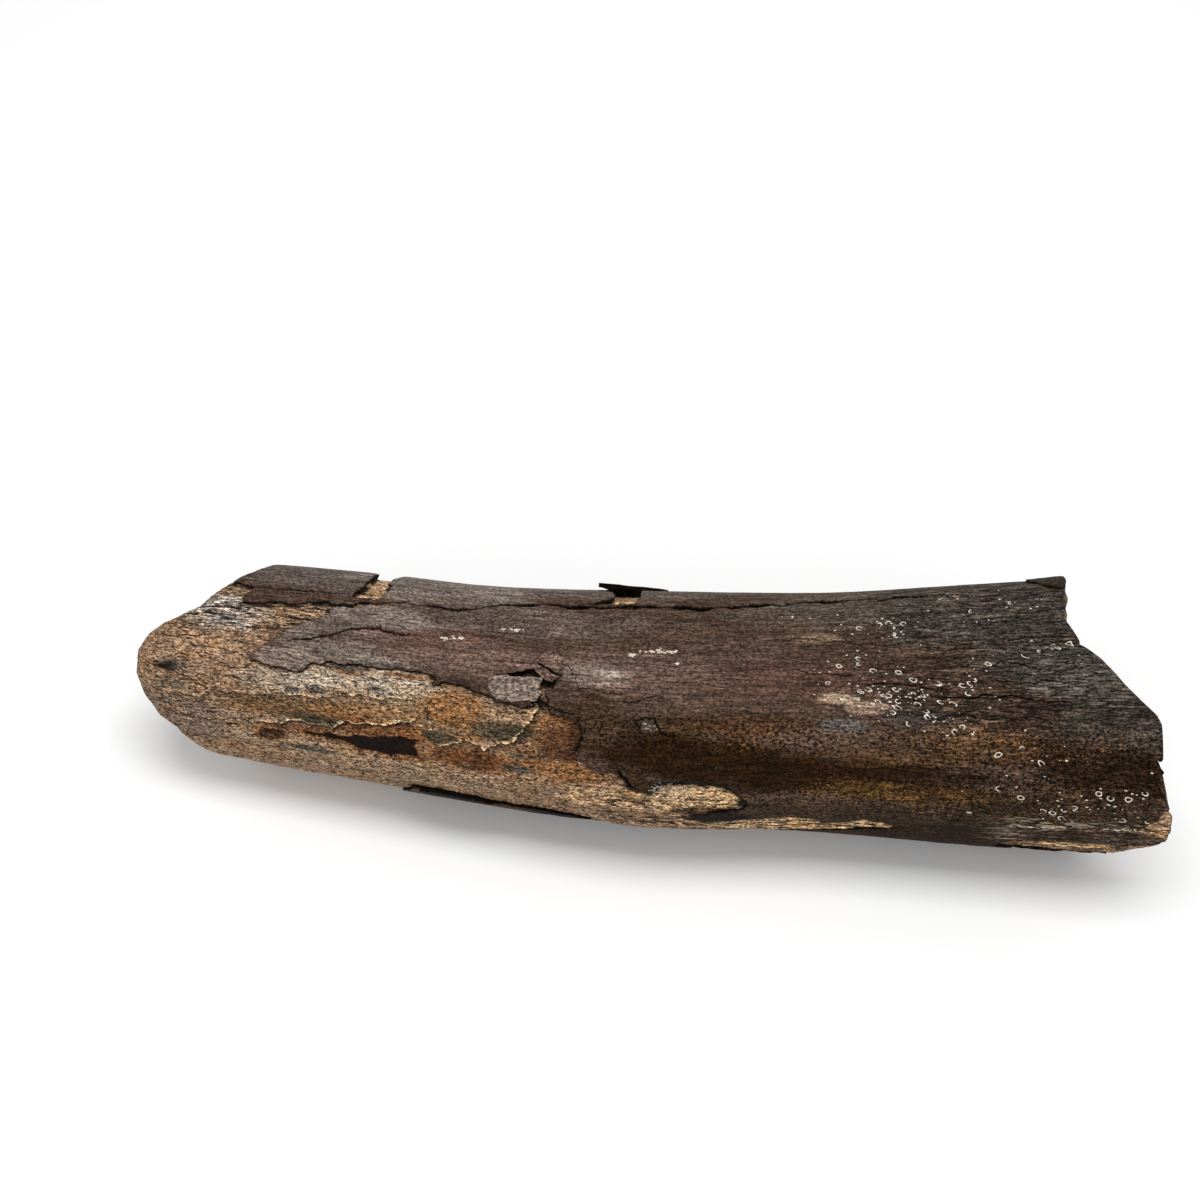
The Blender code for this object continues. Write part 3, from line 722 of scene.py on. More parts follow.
def lattice_value(cell, seed):
    """A fixed random number from -1 to 1 for each whole-number cell."""
    mixed = cell[:, 0] * 73856093 ^ cell[:, 1] * 19349663 ^ cell[:, 2] * 83492791 ^ (seed * 2654435761)
    mixed = (mixed & 0xFFFFFFFF).astype(np.uint64)
    for shift, factor in ((15, 2246822519), (13, 3266489917)):
        mixed = ((mixed ^ (mixed >> np.uint64(shift))) * np.uint64(factor)) & np.uint64(0xFFFFFFFF)
    mixed = mixed ^ (mixed >> np.uint64(16))
    return mixed.astype(float) / 2147483647.5 - 1.0


def in_cells(points, sizes):
    """Points in units of cells of a size along and around the bone, and the cells that hold them."""
    place = points / np.array((sizes[0], sizes[1], sizes[1]))
    return place, np.floor(place).astype(np.int64)


def noise(points, sizes, seed):
    """Smooth noise from -1 to 1 with features of the given sizes, in mm, along and around the bone."""
    place, base = in_cells(points, sizes)
    part = smooth_step(place - base)
    total = np.zeros(len(points))
    for corner in range(8):
        step = np.array([corner & 1, corner >> 1 & 1, corner >> 2 & 1])
        weight = np.prod(np.where(step, part, 1.0 - part), axis=1)
        total += weight * lattice_value(base + step, seed)
    return total


def layered_noise(points, sizes, seed, layers=3):
    total = np.zeros(len(points))
    for layer in range(layers):
        total += noise(points, np.array(sizes) / 2.0**layer, seed + layer) / 2.0**layer
    return total / (2.0 - 2.0 ** (1 - layers))


def named_noise(points, name):
    sizes, seed, layers = NOISES[name]
    return layered_noise(points, sizes, seed, layers)


def ridged(points, name):
    """Sharp-crested noise, 1 on its crests."""
    return 1.0 - 2.0 * np.abs(named_noise(points, name))


def pit_distance(points, sizes, seed):
    """Distance, in cells, to the nearest of the points strewn one to a cell."""
    place, base = in_cells(points, sizes)
    nearest = np.full(len(points), 9.0)
    for corner in range(27):
        cell = base + (np.array([corner % 3, corner // 3 % 3, corner // 9]) - 1)
        spot = np.stack([lattice_value(cell, seed + axis) * 0.5 + 0.5 for axis in range(3)], -1)
        nearest = np.minimum(nearest, np.linalg.norm(cell + spot - place, axis=1))
    return nearest


# ---------------- lines on the map

def broken_line(places, closed, rough, cell, seed):
    """A line through places, on the map, with broken detail added and a point every cell or so."""
    rng = np.random.default_rng(seed)
    line = list(on_map(places))
    if closed:
        line.append(line[0])
    changed = True
    while changed:
        changed = False
        finer = [line[0]]
        for first, second in zip(line, line[1:]):
            reach = np.linalg.norm(second - first)
            if reach > 1.5 * cell:
                side = np.array([first[1] - second[1], second[0] - first[0]]) / reach
                middle = 0.5 * (first + second)
                to_seam = min(middle[1] - MAP_BACK, MAP_FRONT - middle[1])
                sway = min(rough * reach, 1.5) * min(max(to_seam / 12.0, 0.0), 1.0)
                finer.append(middle + side * rng.uniform(-1.0, 1.0) * sway)
                changed = True
            finer.append(second)
        line = finer
    return np.array(line[:-1] if closed else line)


def densified(line, closed, step):
    """The line's points, with more between them so that none are further apart than a step."""
    starts = line if closed else line[:-1]
    ends = np.roll(line, -1, axis=0) if closed else line[1:]
    pieces = []
    for start, end in zip(starts, ends):
        count = max(1, math.ceil(np.linalg.norm(end - start) / step))
        pieces.append(start + (end - start) * (np.arange(count) / count)[:, None])
    if not closed:
        pieces.append(line[-1:])
    return np.concatenate(pieces)


def sides_of(line, closed):
    """Unit vectors square to a line at each of its points."""
    if closed:
        along = np.roll(line, -1, axis=0) - np.roll(line, 1, axis=0)
    else:
        along = np.gradient(line, axis=0)
    along /= np.maximum(np.linalg.norm(along, axis=1), 1e-9)[:, None]
    return np.stack([-along[:, 1], along[:, 0]], -1)


def rows_beside(line, closed, offsets):
    """Rows of points that run beside a line, one at each offset."""
    normals = sides_of(line, closed)
    return np.concatenate([line + normals * offset for offset in offsets])


def crack_outline(route, width):
    """Outline on the map of an open crack that closes to a point at each end."""
    share = np.linspace(0.0, 1.0, len(route))
    half = 0.5 * width * (0.2 + 0.8 * np.sin(math.pi * share))
    ripple = 0.35 * np.sin(share * 61.0) + 0.25 * np.sin(share * 137.0)
    offset = sides_of(route, False) * (half * (1.0 + ripple))[:, None]
    return np.concatenate([route - offset, (route + offset)[::-1]])


def gaps_to(flat, line, spots, reach):
    """The map points within reach of a line, in batches: which they are, and their gaps to its spots."""
    low, high = line.min(0) - reach, line.max(0) + reach
    near = np.flatnonzero(((flat > low) & (flat < high)).all(1))
    for part in np.array_split(near, max(1, len(near) * len(spots) // BATCH)):
        if len(part):
            offset = flat[part][:, None, :] - spots[None, :, :]
            yield part, offset, np.linalg.norm(offset, axis=2)


def groove_depth(flat, cracks):
    """How deep the cracks (line, half width, depth) are at points on the map."""
    depth = np.zeros(len(flat))
    for line, half, deep in cracks:
        spots = densified(line, False, 0.15)
        taper = np.minimum(1.0, 3.0 * np.sin(math.pi * np.linspace(0.02, 0.98, len(spots))))
        for part, _, gap in gaps_to(flat, line, spots, half):
            cut = deep * taper[gap.argmin(1)] * np.maximum(0.0, 1.0 - gap.min(1) / half)
            depth[part] = np.maximum(depth[part], cut)
    return depth


def step_side(flat, line, reach):
    """Distance to an open line, which side of it each point is on, and how near the line's middle."""
    spots = densified(line, False, 0.25)
    normals = sides_of(spots, False)
    gap = np.full(len(flat), reach)
    side = np.zeros(len(flat))
    share = np.zeros(len(flat))
    for part, offset, distance in gaps_to(flat, line, spots, reach):
        nearest = distance.argmin(1)
        rows = np.arange(len(part))
        gap[part] = np.minimum(distance[rows, nearest], reach)
        side[part] = np.sign((offset[rows, nearest] * normals[nearest]).sum(1))
        share[part] = nearest / len(spots)
    return gap, side, np.sin(math.pi * share)


# ---------------- rasters over the map

def raster_shape():
    columns = int((MAP_LENGTH + 2.0 * RASTER_MARGIN) / RASTER) + 1
    rows = int((MAP_FRONT - MAP_BACK + 2.0 * RASTER_MARGIN) / RASTER) + 1
    return columns, rows


def to_raster(points):
    return (points - np.array((-RASTER_MARGIN, MAP_BACK - RASTER_MARGIN))) / RASTER


def inside_raster(outline):
    """Which cells of the raster a closed outline holds."""
    columns, rows = raster_shape()
    turns = np.zeros((columns + 1, rows), int)
    corners = to_raster(outline)
    for start, end in zip(corners, np.roll(corners, -1, axis=0)):
        first = max(math.ceil(min(start[1], end[1])), 0)
        last = min(math.ceil(max(start[1], end[1])), rows)
        if first >= last:
            continue
        row = np.arange(first, last)
        column = start[0] + (row - start[1]) / (end[1] - start[1]) * (end[0] - start[0])
        turns[np.clip(np.ceil(column).astype(int), 0, columns), row] += 1
    return np.cumsum(turns, axis=0)[:columns] % 2 == 1


def distance_raster(outline, limit=FIELD_LIMIT):
    """Distance to a closed outline, in mm: positive inside it, negative outside, up to a limit."""
    columns, rows = raster_shape()
    away = np.full((columns, rows), limit)
    reach = int(limit / RASTER) + 1
    for spot in to_raster(densified(outline, True, RASTER)):
        column, row = np.round(spot).astype(int)
        left, right = max(column - reach, 0), min(column + reach + 1, columns)
        low, high = max(row - reach, 0), min(row + reach + 1, rows)
        if left >= right or low >= high:
            continue
        across = (np.arange(left, right) - spot[0])[:, None]
        up = (np.arange(low, high) - spot[1])[None, :]
        patch = away[left:right, low:high]
        np.minimum(patch, np.hypot(across, up) * RASTER, out=patch)
    return np.where(inside_raster(outline), away, -away)


def read_raster(raster, points):
    place = np.clip(to_raster(points), 0.0, np.array(raster.shape) - 1.001)
    base = place.astype(int)
    part = place - base
    total = np.zeros(len(points))
    for column in (0, 1):
        for row in (0, 1):
            weight = np.abs(1 - column - part[:, 0]) * np.abs(1 - row - part[:, 1])
            total += weight * raster[base[:, 0] + column, base[:, 1] + row]
    return total


# ---------------- meshes from the map

def square_grid(first, second):
    """Every pair of the two rows of whole numbers."""
    return np.stack(np.meshgrid(first, second, indexing="ij"), -1).reshape(-1, 2)


def grid_points(cell, steps):
    """Points strewn evenly over the map, as dense as steps(flat) says: 1 is a point every cell."""
    columns = int(round(MAP_LENGTH / cell))
    rows = int(round((MAP_FRONT - MAP_BACK) / cell))
    column, row = square_grid(np.arange(1, columns), np.arange(1, rows)).T
    wide, tall = MAP_LENGTH / columns, (MAP_FRONT - MAP_BACK) / rows
    flat = np.stack([column * wide, MAP_BACK + (row + 0.5 * (column % 2)) * tall], -1)
    step = steps(flat)
    kept = (column % step == 0) & (row % step == 0) & (flat[:, 1] < MAP_FRONT - 0.4 * cell)
    flat, step = flat[kept], step[kept]
    shake = np.random.default_rng(SHAKE_SEED).uniform(-0.16, 0.16, flat.shape) * cell
    return flat + shake * (step == 1)[:, None], step * cell


def border_line(cell, coarse):
    """The map's four edges as one closed line, with the same points on both sides of the seam."""
    along = np.linspace(0.0, MAP_LENGTH, int(MAP_LENGTH / coarse))
    around = [MAP_BACK]
    while around[-1] < MAP_FRONT - cell:
        seen = VIEW_FROM * ARC < around[-1] < VIEW_TO * ARC
        around.append(around[-1] + (cell if seen else 2.0 * cell))
    around = np.array(around[:-1] + [MAP_FRONT])
    back, front = (np.stack([along, np.full(len(along), edge)], -1) for edge in (MAP_BACK, MAP_FRONT))
    left, right = (np.stack([np.full(len(around), edge), around], -1) for edge in (0.0, MAP_LENGTH))
    return np.concatenate([back[:-1], right[:-1], front[::-1][:-1], left[::-1][:-1]]), around


def clear_of(points, spacing, spots):
    """The points that stand more than about half their spacing from every spot."""
    tree = KDTree(len(spots))
    for index, spot in enumerate(spots):
        tree.insert((spot[0], spot[1], 0.0), index)
    tree.balance()
    kept = [tree.find((x, y, 0.0))[2] > 0.55 * reach for (x, y), reach in zip(points, spacing)]
    return points[np.array(kept)]


def triangulate(loose, outlines):
    """Triangles over map points: loose ones, and closed outlines that the edges keep to."""
    points = [Vector(point) for point in loose]
    edges = []
    for outline in outlines:
        first, count = len(points), len(outline)
        points.extend(Vector(point) for point in outline)
        edges.extend((first + i, first + (i + 1) % count) for i in range(count))
    verts, _, faces, _, _, _ = delaunay_2d_cdt(points, edges, [], 0, 1e-5)
    return np.array([tuple(vert) for vert in verts]), np.array(faces)


def compacted(points, faces):
    """Only the points that faces use, with the faces renumbered."""
    used, faces = np.unique(faces, return_inverse=True)
    return points[used], faces.reshape(-1, 3)


def rim_edges(faces):
    """The directed edges that only one face has."""
    edges = np.concatenate([faces[:, (0, 1)], faces[:, (1, 2)], faces[:, (2, 0)]])
    keys = np.sort(edges, axis=1)
    _, index, count = np.unique(keys, axis=0, return_index=True, return_counts=True)
    return edges[index[count == 1]]


def strip(first, second, ahead, ahead_second):
    """Two triangles for each gap between two rows of points: point numbers here and one step ahead."""
    return np.concatenate([np.stack([first, second, ahead], -1), np.stack([ahead, second, ahead_second], -1)])


def slab(flat, faces, low, high):
    """Faces and points of a closed slab over part of the map, between two lifts."""
    start, end = rim_edges(faces).T
    count = len(flat)
    points = np.concatenate([map_position(flat, high), map_position(flat, low)])
    walls = strip(start, start + count, end, end + count)
    return np.concatenate([faces, faces[:, ::-1] + count, walls]), points


def joined(parts):
    """One set of arrays from several (faces, points, and more arrays with a row for each point)."""
    faces, *columns = zip(*parts)
    starts = np.cumsum([0, *(len(points) for points in columns[0])])
    faces = np.concatenate([part + start for part, start in zip(faces, starts)])
    return (faces, *(np.concatenate(column) for column in columns))


def add_object(name, data):
    thing = bpy.data.objects.new(name, data)
    bpy.context.scene.collection.objects.link(thing)
    return thing


def build_mesh(name, points, faces, attributes):
    """A mesh object with float and vector attributes on its vertices, doubled vertices welded."""
    mesh = bpy.data.meshes.new(name)
    mesh.from_pydata(points.tolist(), [], faces.tolist())
    for key, values in attributes.items():
        is_vector = values.ndim == 2
        layer = mesh.attributes.new(key, "FLOAT_VECTOR" if is_vector else "FLOAT", "POINT")
        layer.data.foreach_set("vector" if is_vector else "value", values.astype(np.float32).ravel())
    bm = bmesh.new()
    bm.from_mesh(mesh)
    bmesh.ops.remove_doubles(bm, verts=bm.verts, dist=WELD)
    bmesh.ops.dissolve_degenerate(bm, edges=bm.edges, dist=WELD)
    bmesh.ops.holes_fill(bm, edges=[edge for edge in bm.edges if len(edge.link_faces) == 1], sides=0)
    bmesh.ops.delete(bm, geom=[vert for vert in bm.verts if not vert.link_faces], context="VERTS")
    bmesh.ops.recalc_face_normals(bm, faces=bm.faces)
    if bm.calc_volume(signed=True) < 0.0:
        bmesh.ops.reverse_faces(bm, faces=bm.faces[:])
    bmesh.ops.triangulate(bm, faces=bm.faces[:])
    bm.to_mesh(mesh)
    bm.free()
    mesh.shade_smooth()
    mesh.set_sharp_from_angle(angle=SHARP_ANGLE)
    return add_object(name, mesh)


# ---------------- colour laid on as listed

def linear(name):
    """A named colour, from its 8-bit sRGB values to linear light."""
    value = np.array(PALETTE[name]) / 255.0
    return np.where(value <= 0.04045, value / 12.92, ((value + 0.055) / 1.055) ** 2.4)


def plain(name, count):
    """A named colour for each of a number of points."""
    return np.tile(linear(name), (count, 1))


def lay_over(tint, name, cover):
    """Turn colours towards a named one, in place, as far as the cover says."""
    tint += (linear(name) - tint) * cover[:, None]


def stained(x, angle, place, base, stains, seed):
    """Colour of each point: a base, with soft-edged stains laid over it one by one."""
    tint = plain(base, len(x))
    wander = 0.38 * layered_noise(place, STAIN_WANDER, seed)
    wander += 0.3 * layered_noise(place, STAIN_FRAY, seed + 5)
    for middle, turn, reach, spread, name, strength in stains:
        gap = np.hypot((x - middle) / reach, turn_between(angle, turn) / spread)
        lay_over(tint, name, strength * smooth_step((1.2 - gap + wander) / 0.6))
    return tint


# ---------------- the bared bone

def woodiness(x, angle):
    """How much the bared bone is split into long threads: on its upper left, and low at the front."""
    return np.maximum(window(angle, WOODY_TOP), window(angle, WOODY_FRONT) * ramp(x, *WOODY_FRONT_X))


def bone_steps_down(flat, x, angle, fields):
    """How far the bone lies below its outer level, between its layers and in its scars."""
    pale, olive, island, lens = (
        smooth_step(read_raster(fields[key], flat) / STEP_BLUR + 0.5)
        for key in ("pale", "olive", "island", "lens")
    )
    begun = ramp(x, *STEPS_BEGIN)
    band = (1.0 - pale) * (1.0 - island) * ramp(angle, *BAND_END) * begun
    foot = np.interp(x, *zip(*HOLLOW_FOOT))
    hollow = (1.0 - olive) * (1.0 - island) * ramp(angle, foot + HOLLOW_BLEND, foot) * begun
    hollow *= ramp(angle, *HOLLOW_BEGIN)
    rim = island * smooth_step(1.0 - read_raster(fields["island"], flat) / ISLAND_RIM_WIDTH)
    deep = sum(
        extra * smooth_step(read_raster(fields[key], flat) / 0.8 + 0.3) for key, extra in DEEP_SCARS.items()
    )
    return BAND_DROP * band + HOLLOW_DROP * hollow + LENS_DROP * lens - ISLAND_RIM * rim + deep


def bone_form(flat, fields, cracks):
    """Lift of the bone inside the skin, and the painted shade in its pits, cracks and low spots."""
    x, angle, place = survey(flat)
    ledges = smooth_step(named_noise(place, "bone_ledges") * 3.0 + 0.5) - 0.5
    pits = ramp(pit_distance(place, PIT_SIZE, PIT_SEED), *PIT_RANGE)
    fine = RIDGE_RELIEF * ridged(place, "bone_ridges") + THREAD_RELIEF * named_noise(place, "bone_threads")
    woody = 1.0 + WOODY_GAIN * woodiness(x, angle)
    relief = COARSE_RELIEF * named_noise(place, "bone_coarse") + woody * fine
    relief += LEDGE_RELIEF * ledges - PIT_RELIEF * pits
    swell = SWELL * window(angle, SWELL_AROUND) * window(x, SWELL_ALONG)
    bared = smooth_step(read_raster(fields["bared"], flat) / 1.5 + 1.6)
    lift = bared * (relief + swell - bone_steps_down(flat, x, angle, fields)) + (1.0 - bared) * COVERED_DROP
    grooves = groove_depth(flat, cracks)
    dark = np.clip(0.35 * pits + 1.3 * grooves + 0.5 * np.maximum(0.0, -relief), 0.0, 1.0)
    return np.minimum(lift - SKIN_THICKNESS, BONE_TOP) - grooves, dark


def add_rims(tint, flat, x, angle, place, fields):
    """Pale rims where a layer ends, and painted shade below them, laid over colours in place."""
    patchy = smooth_step(1.3 + named_noise(place, "rim_patches"))
    width = RIM_WIDTH * (1.0 + 1.4 * named_noise(place, "rim_width"))
    for key, start, end, rim, shade in LAYER_EDGES:
        away = read_raster(fields[key], flat)
        begun = window(x, (start, start + 5.0, end - 4.0, end))
        lip = smooth_step(away / 0.25 + 0.5) * smooth_step((width - away) / 0.5) * patchy * rim * begun
        if key == "island":
            lip *= np.maximum(ramp(x, *ISLAND_RIM_X), ramp(angle, *ISLAND_RIM_ANGLE))
        # Painted shade at the foot of each layer's step
        below = smooth_step(0.5 - away / 0.25) * np.exp(np.minimum(0.0, away + 0.5) / 1.5) * shade * begun
        tint *= (1.0 - below)[:, None]
        lay_over(tint, "rim", lip)


def painted_shade_at_edge(flat, x, angle, place, fields):
    """Painted shade on the bone: dark along the skin's edge, under the skin's lip, and black in the long
    split.
    """
    hollow_lip = window(x, HOLLOW_LIP) * (angle > 56.0) * (angle < 79.0)
    lip_shadow = 0.5 + 0.4 * (angle < 5.0) + 2.4 * hollow_lip
    edge = np.exp(-np.maximum(0.0, read_raster(fields["bared"], flat) - lip_shadow) / 0.45)
    edge *= 1.0 - 0.7 * smooth_step(read_raster(fields["chip"], flat) / 0.6)
    sandy = ramp(x, *SANDY_X) * smooth_step(named_noise(place, "sand") * 4.0)
    dark = 0.95 * edge * (1.0 - 0.8 * sandy * (angle < -12.0))
    return np.maximum(dark, smooth_step(read_raster(fields["split0"], flat) / 0.4 + 1.0))


def bone_colours(flat, fields):
    """Stains, with rims along the layers, rust round the lens, and painted shade along the skin's edge and in
    the long split.
    """
    x, angle, place = survey(flat)
    tint = stained(x, angle, place, "tan", BONE_STAINS, BONE_STAIN_SEED)
    add_rims(tint, flat, x, angle, place, fields)
    from_lens = read_raster(fields["lens"], flat) + 0.8 * named_noise(place, "lens_edge")
    lay_over(tint, "rust_bone", 0.7 * smooth_step(from_lens / 3.0 + 1.0))
    lay_over(tint, "lens", smooth_step(from_lens + 0.5) * np.where(x < -150.0, 0.8, 1.0))
    return tint * (1.0 - painted_shade_at_edge(flat, x, angle, place, fields))[:, None]


def bone_step(flat, fields):
    """How coarse the bone's mesh is: fine where it is bare and faces the camera's side."""
    open_to_air = read_raster(fields["bared"], flat) > -1.6
    return np.where(open_to_air, np.where(in_view(flat[:, 1] / ARC), 1, BARE_HIDDEN_STEP), COVERED_STEP)


def end_disc(around, seed):
    """A disc whose rim has the points of the map's edge: share of the radius, angle and faces."""
    turn = np.radians(around[:-1] / ARC)
    ring = np.stack([np.cos(turn), np.sin(turn)], -1)
    count = int(2.0 / FACE_CELL)
    loose = square_grid(np.arange(-count, count + 1), np.arange(-count, count + 1)) * FACE_CELL
    loose += np.random.default_rng(seed).uniform(-0.3, 0.3, loose.shape) * FACE_CELL
    loose = loose[np.hypot(loose[:, 0], loose[:, 1]) < 1.0 - 0.6 * FACE_CELL]
    disc, faces = triangulate(loose, [ring])
    angle = np.degrees(np.arctan2(disc[:, 1], disc[:, 0]))
    angle = np.where(angle < SEAM_BACK, angle + 360.0, angle)
    return np.minimum(np.hypot(disc[:, 0], disc[:, 1]), 1.0), angle, faces


def end_face(outline, profile, inward, rounding, edge, colour, seed, around, fields, cracks):
    """One end of the bone, with a spongy core: faces, points, places, painted shade in the sponge's cells,
    tint and woodiness.
    """
    ends = np.stack([np.full(len(around), edge), around], -1)
    share, angle, faces = end_disc(around, seed)
    middle = np.mean(end_x(outline, np.arange(0, 360, 10)))
    rim = end_x(outline, angle)
    lump = FACE_LUMP * np.sin(np.radians(3.0 * angle + 200.0 * share)) * share * (1.0 - share) * 4.0
    depth = np.interp(share, *zip(*sorted(profile)))
    place = polar_points(rim, angle, (radius(rim, angle) - rounding) * share) / MM
    inner = smooth_step((1.0 - share) / 0.05)
    cells = pit_distance(place, SPONGE_SIZE, seed + 1)
    spongy = smooth_step((0.86 - share) / 0.16)
    ragged = FACE_ROUGHNESS * layered_noise(place, FACE_ROUGH_SIZE, seed + 2, 4)
    sponge = spongy * (SPONGE_DEPTH * smooth_step((0.62 - cells) / 0.4) - SPONGE_LIFT)
    x = middle + (rim - middle) * share**FACE_FLATNESS + inward * (depth + inner * (lump + ragged + sponge))
    lift = np.interp(angle * ARC, around, bone_form(ends, fields, cracks)[0])
    points = polar_points(x, angle, (radius(x, angle) - rounding + lift) * share)
    if inward < 0.0:
        points[:, 0] -= RIM_SETBACK * MM
    dark = np.clip(spongy * smooth_step((0.66 - cells) / 0.3), 0.0, 1.0) * inner
    tint = plain(colour, len(points))
    lay_over(tint, "core", 0.7 * smooth_step((0.8 - share) / 0.2))
    return faces, points, place, dark, tint, np.zeros(len(points))


def make_bone(fields, outlines, cracks):
    """The tan bone inside the skin, closed by its worn end and its broken end."""
    border, around = border_line(BONE_CELL * 1.3, BONE_CELL * COVERED_STEP)
    rows = [rows_beside(outlines[key], True, (-0.2, 0.2)) for key in LAYERS]
    rows += [rows_beside(line, False, (-half, 0.0, half)) for line, half, _ in cracks]
    rows = np.concatenate(rows)
    inner = (rows[:, 0] > 1.0) & (rows[:, 0] < MAP_LENGTH - 1.0)
    rows = rows[inner & (read_raster(fields["bared"], rows) > -1.5)]
    loose, spacing = grid_points(BONE_CELL, lambda flat: bone_step(flat, fields))
    loose = clear_of(loose, spacing, np.concatenate([rows, border]))
    flat, faces = triangulate(np.concatenate([loose, rows]), [border])
    x, angle, place = survey(flat)
    lift, dark = bone_form(flat, fields, cracks)
    points = map_position(flat, lift)
    points[:, 0] -= RIM_SETBACK * MM * smooth_step((flat[:, 0] - MAP_LENGTH + 2.0) / 2.0)
    shaft = (faces, points, place, dark, bone_colours(flat, fields), woodiness(x, angle))
    ends = [end_face(*end, around, fields, cracks) for end in END_FACES]
    faces, points, place, dark, tint, woody = joined([shaft, *ends])
    # The hollow attribute is painted shade in pits, cracks and the sponge's cells
    attributes = {"grain": place / 10.0, "hollow": dark, "tint": tint, "woody": woody}
    return build_mesh("bare_bone", points, faces, attributes)


# ---------------- the dark skin

def skin_form(flat, fields, cracks, curl):
    """Lift of the skin, the painted shade in its cracks and under its curled edge, how gritty and rippled it
    is, and the way to its edge.
    """
    x, angle, place = survey(flat)
    lift = SKIN_SWELL * named_noise(place, "skin_swell") + DENT_RELIEF * named_noise(place, "skin_dents")
    flaked = smooth_step(named_noise(place, "skin_flaking") * 9.0 - 1.2)
    lift -= FLAKED_DEPTH * flaked * ramp(angle, *FLAKED_ANGLE)
    gritty = window(angle, GRITTY) * (1.0 - POLISH * window(angle, POLISHED) * ramp(x, *POLISHED_X))
    rippled = ramp(x, *RIPPLED_X)
    lift += GRIT_RELIEF * gritty * named_noise(place, "skin_grit")
    lift += RIPPLE_RELIEF * rippled * ridged(place, "skin_ripples")
    edge = np.maximum(0.0, -read_raster(fields["bared"], flat))
    lift += EDGE_WARP * np.exp(-edge / EDGE_WARP_REACH) * (0.4 + named_noise(place, "skin_warp"))
    lift -= EDGE_WEAR * np.maximum(0.0, 1.0 - edge / EDGE_WEAR_REACH) ** 2
    gap, side, middle = step_side(flat, curl, CURL_REACH)
    fade = np.maximum(0.0, 1.0 - gap / CURL_REACH) ** 1.5 * smooth_step(middle * 2.5)
    lift += fade * np.where(side > 0.0, -CURL_DROP, CURL_RISE)
    grooves = groove_depth(flat, cracks)
    # Painted shade: black in the cracks, and a dark line under the curled edge, where it overhangs the skin
    # below.
    shade = np.clip(grooves * 2.2 + 1.2 * fade * (side > 0.0) * (gap < 0.5), 0.0, 1.0)
    return np.minimum(lift, SKIN_TOP) - grooves, shade, gritty, rippled * (1.0 - 0.35 * gritty), edge


def skin_part(flat, faces, fields):
    """The triangles of the map that still carry skin."""
    middles = flat[faces].mean(axis=1)
    return compacted(flat, faces[within_map(middles, 0.0) & (read_raster(fields["bared"], middles) < 0.0)])


def tucked(flat, fields):
    """Map points, with those on the skin's broken edge moved in under the skin."""
    nudge = 0.6
    slopes = [
        read_raster(fields["bared"], flat + step) - read_raster(fields["bared"], flat - step)
        for step in (np.array((nudge, 0.0)), np.array((0.0, nudge)))
    ]
    away = np.stack(slopes, -1)
    away /= np.maximum(np.linalg.norm(away, axis=1), 1e-6)[:, None]
    on_edge = within_map(flat, 1.0) & (np.abs(read_raster(fields["bared"], flat)) < 0.35)
    return flat - away * (TUCK * on_edge)[:, None]


def skin_step(flat):
    """How coarse the skin's mesh is: fine on the camera's side."""
    return np.where(in_view(flat[:, 1] / ARC), 1, SKIN_HIDDEN_STEP)


def skin_maps(fields, outlines, cracks, curl):
    """Map points and faces of the skin's outer side and of its inner side."""
    border, _ = border_line(SKIN_CELL * 1.2, SKIN_CELL * SKIN_HIDDEN_STEP)
    closed = [border, *(outline for key, outline in outlines.items() if key not in LAYERS)]
    rows = [rows_beside(line, False, (-half, 0.0, half)) for line, half, _ in cracks]
    rows = np.concatenate([*rows, rows_beside(curl, False, (-0.12, 0.12, 0.5))])
    rows = rows[(rows[:, 0] < MAP_LENGTH - 1.0) & (read_raster(fields["bared"], rows) < -0.4)]
    spots = np.concatenate(closed)
    fine, spacing = grid_points(SKIN_CELL, skin_step)
    fine = clear_of(fine, spacing, np.concatenate([rows, spots]))
    coarse, spacing = grid_points(SKIN_CELL * SKIN_ROOT_STEP, lambda flat: np.ones(len(flat), int))
    coarse = clear_of(coarse, spacing, spots)
    loose = (np.concatenate([fine, rows]), coarse)
    return (skin_part(*triangulate(points, closed), fields) for points in loose)


def broken_rim(flat, faces):
    """The directed rim edges of part of the map, without those along its seam."""
    rim = rim_edges(faces)
    around = flat[rim, 1]
    on_back, on_front = (np.abs(around - seam).sum(1) < 1e-4 for seam in (MAP_BACK, MAP_FRONT))
    return rim[~(on_back | on_front)]


def skin_zones(x, angle, gritty):
    """Where painted highlights glint on the grit, and where pale streaks run along the lower right."""
    upper = window(angle, GLINT_UPPER) * ramp(x, *GLINT_UPPER_X)
    lower = window(angle, GLINT_LOWER) * ramp(x, *GLINT_LOWER_X)
    glint = (GLINT * (upper + lower) + 0.16 * gritty + 0.04) * ramp(x, *GLINT_END_X)
    return glint, ramp(x, *STRIAE_X) * window(angle, STRIAE)


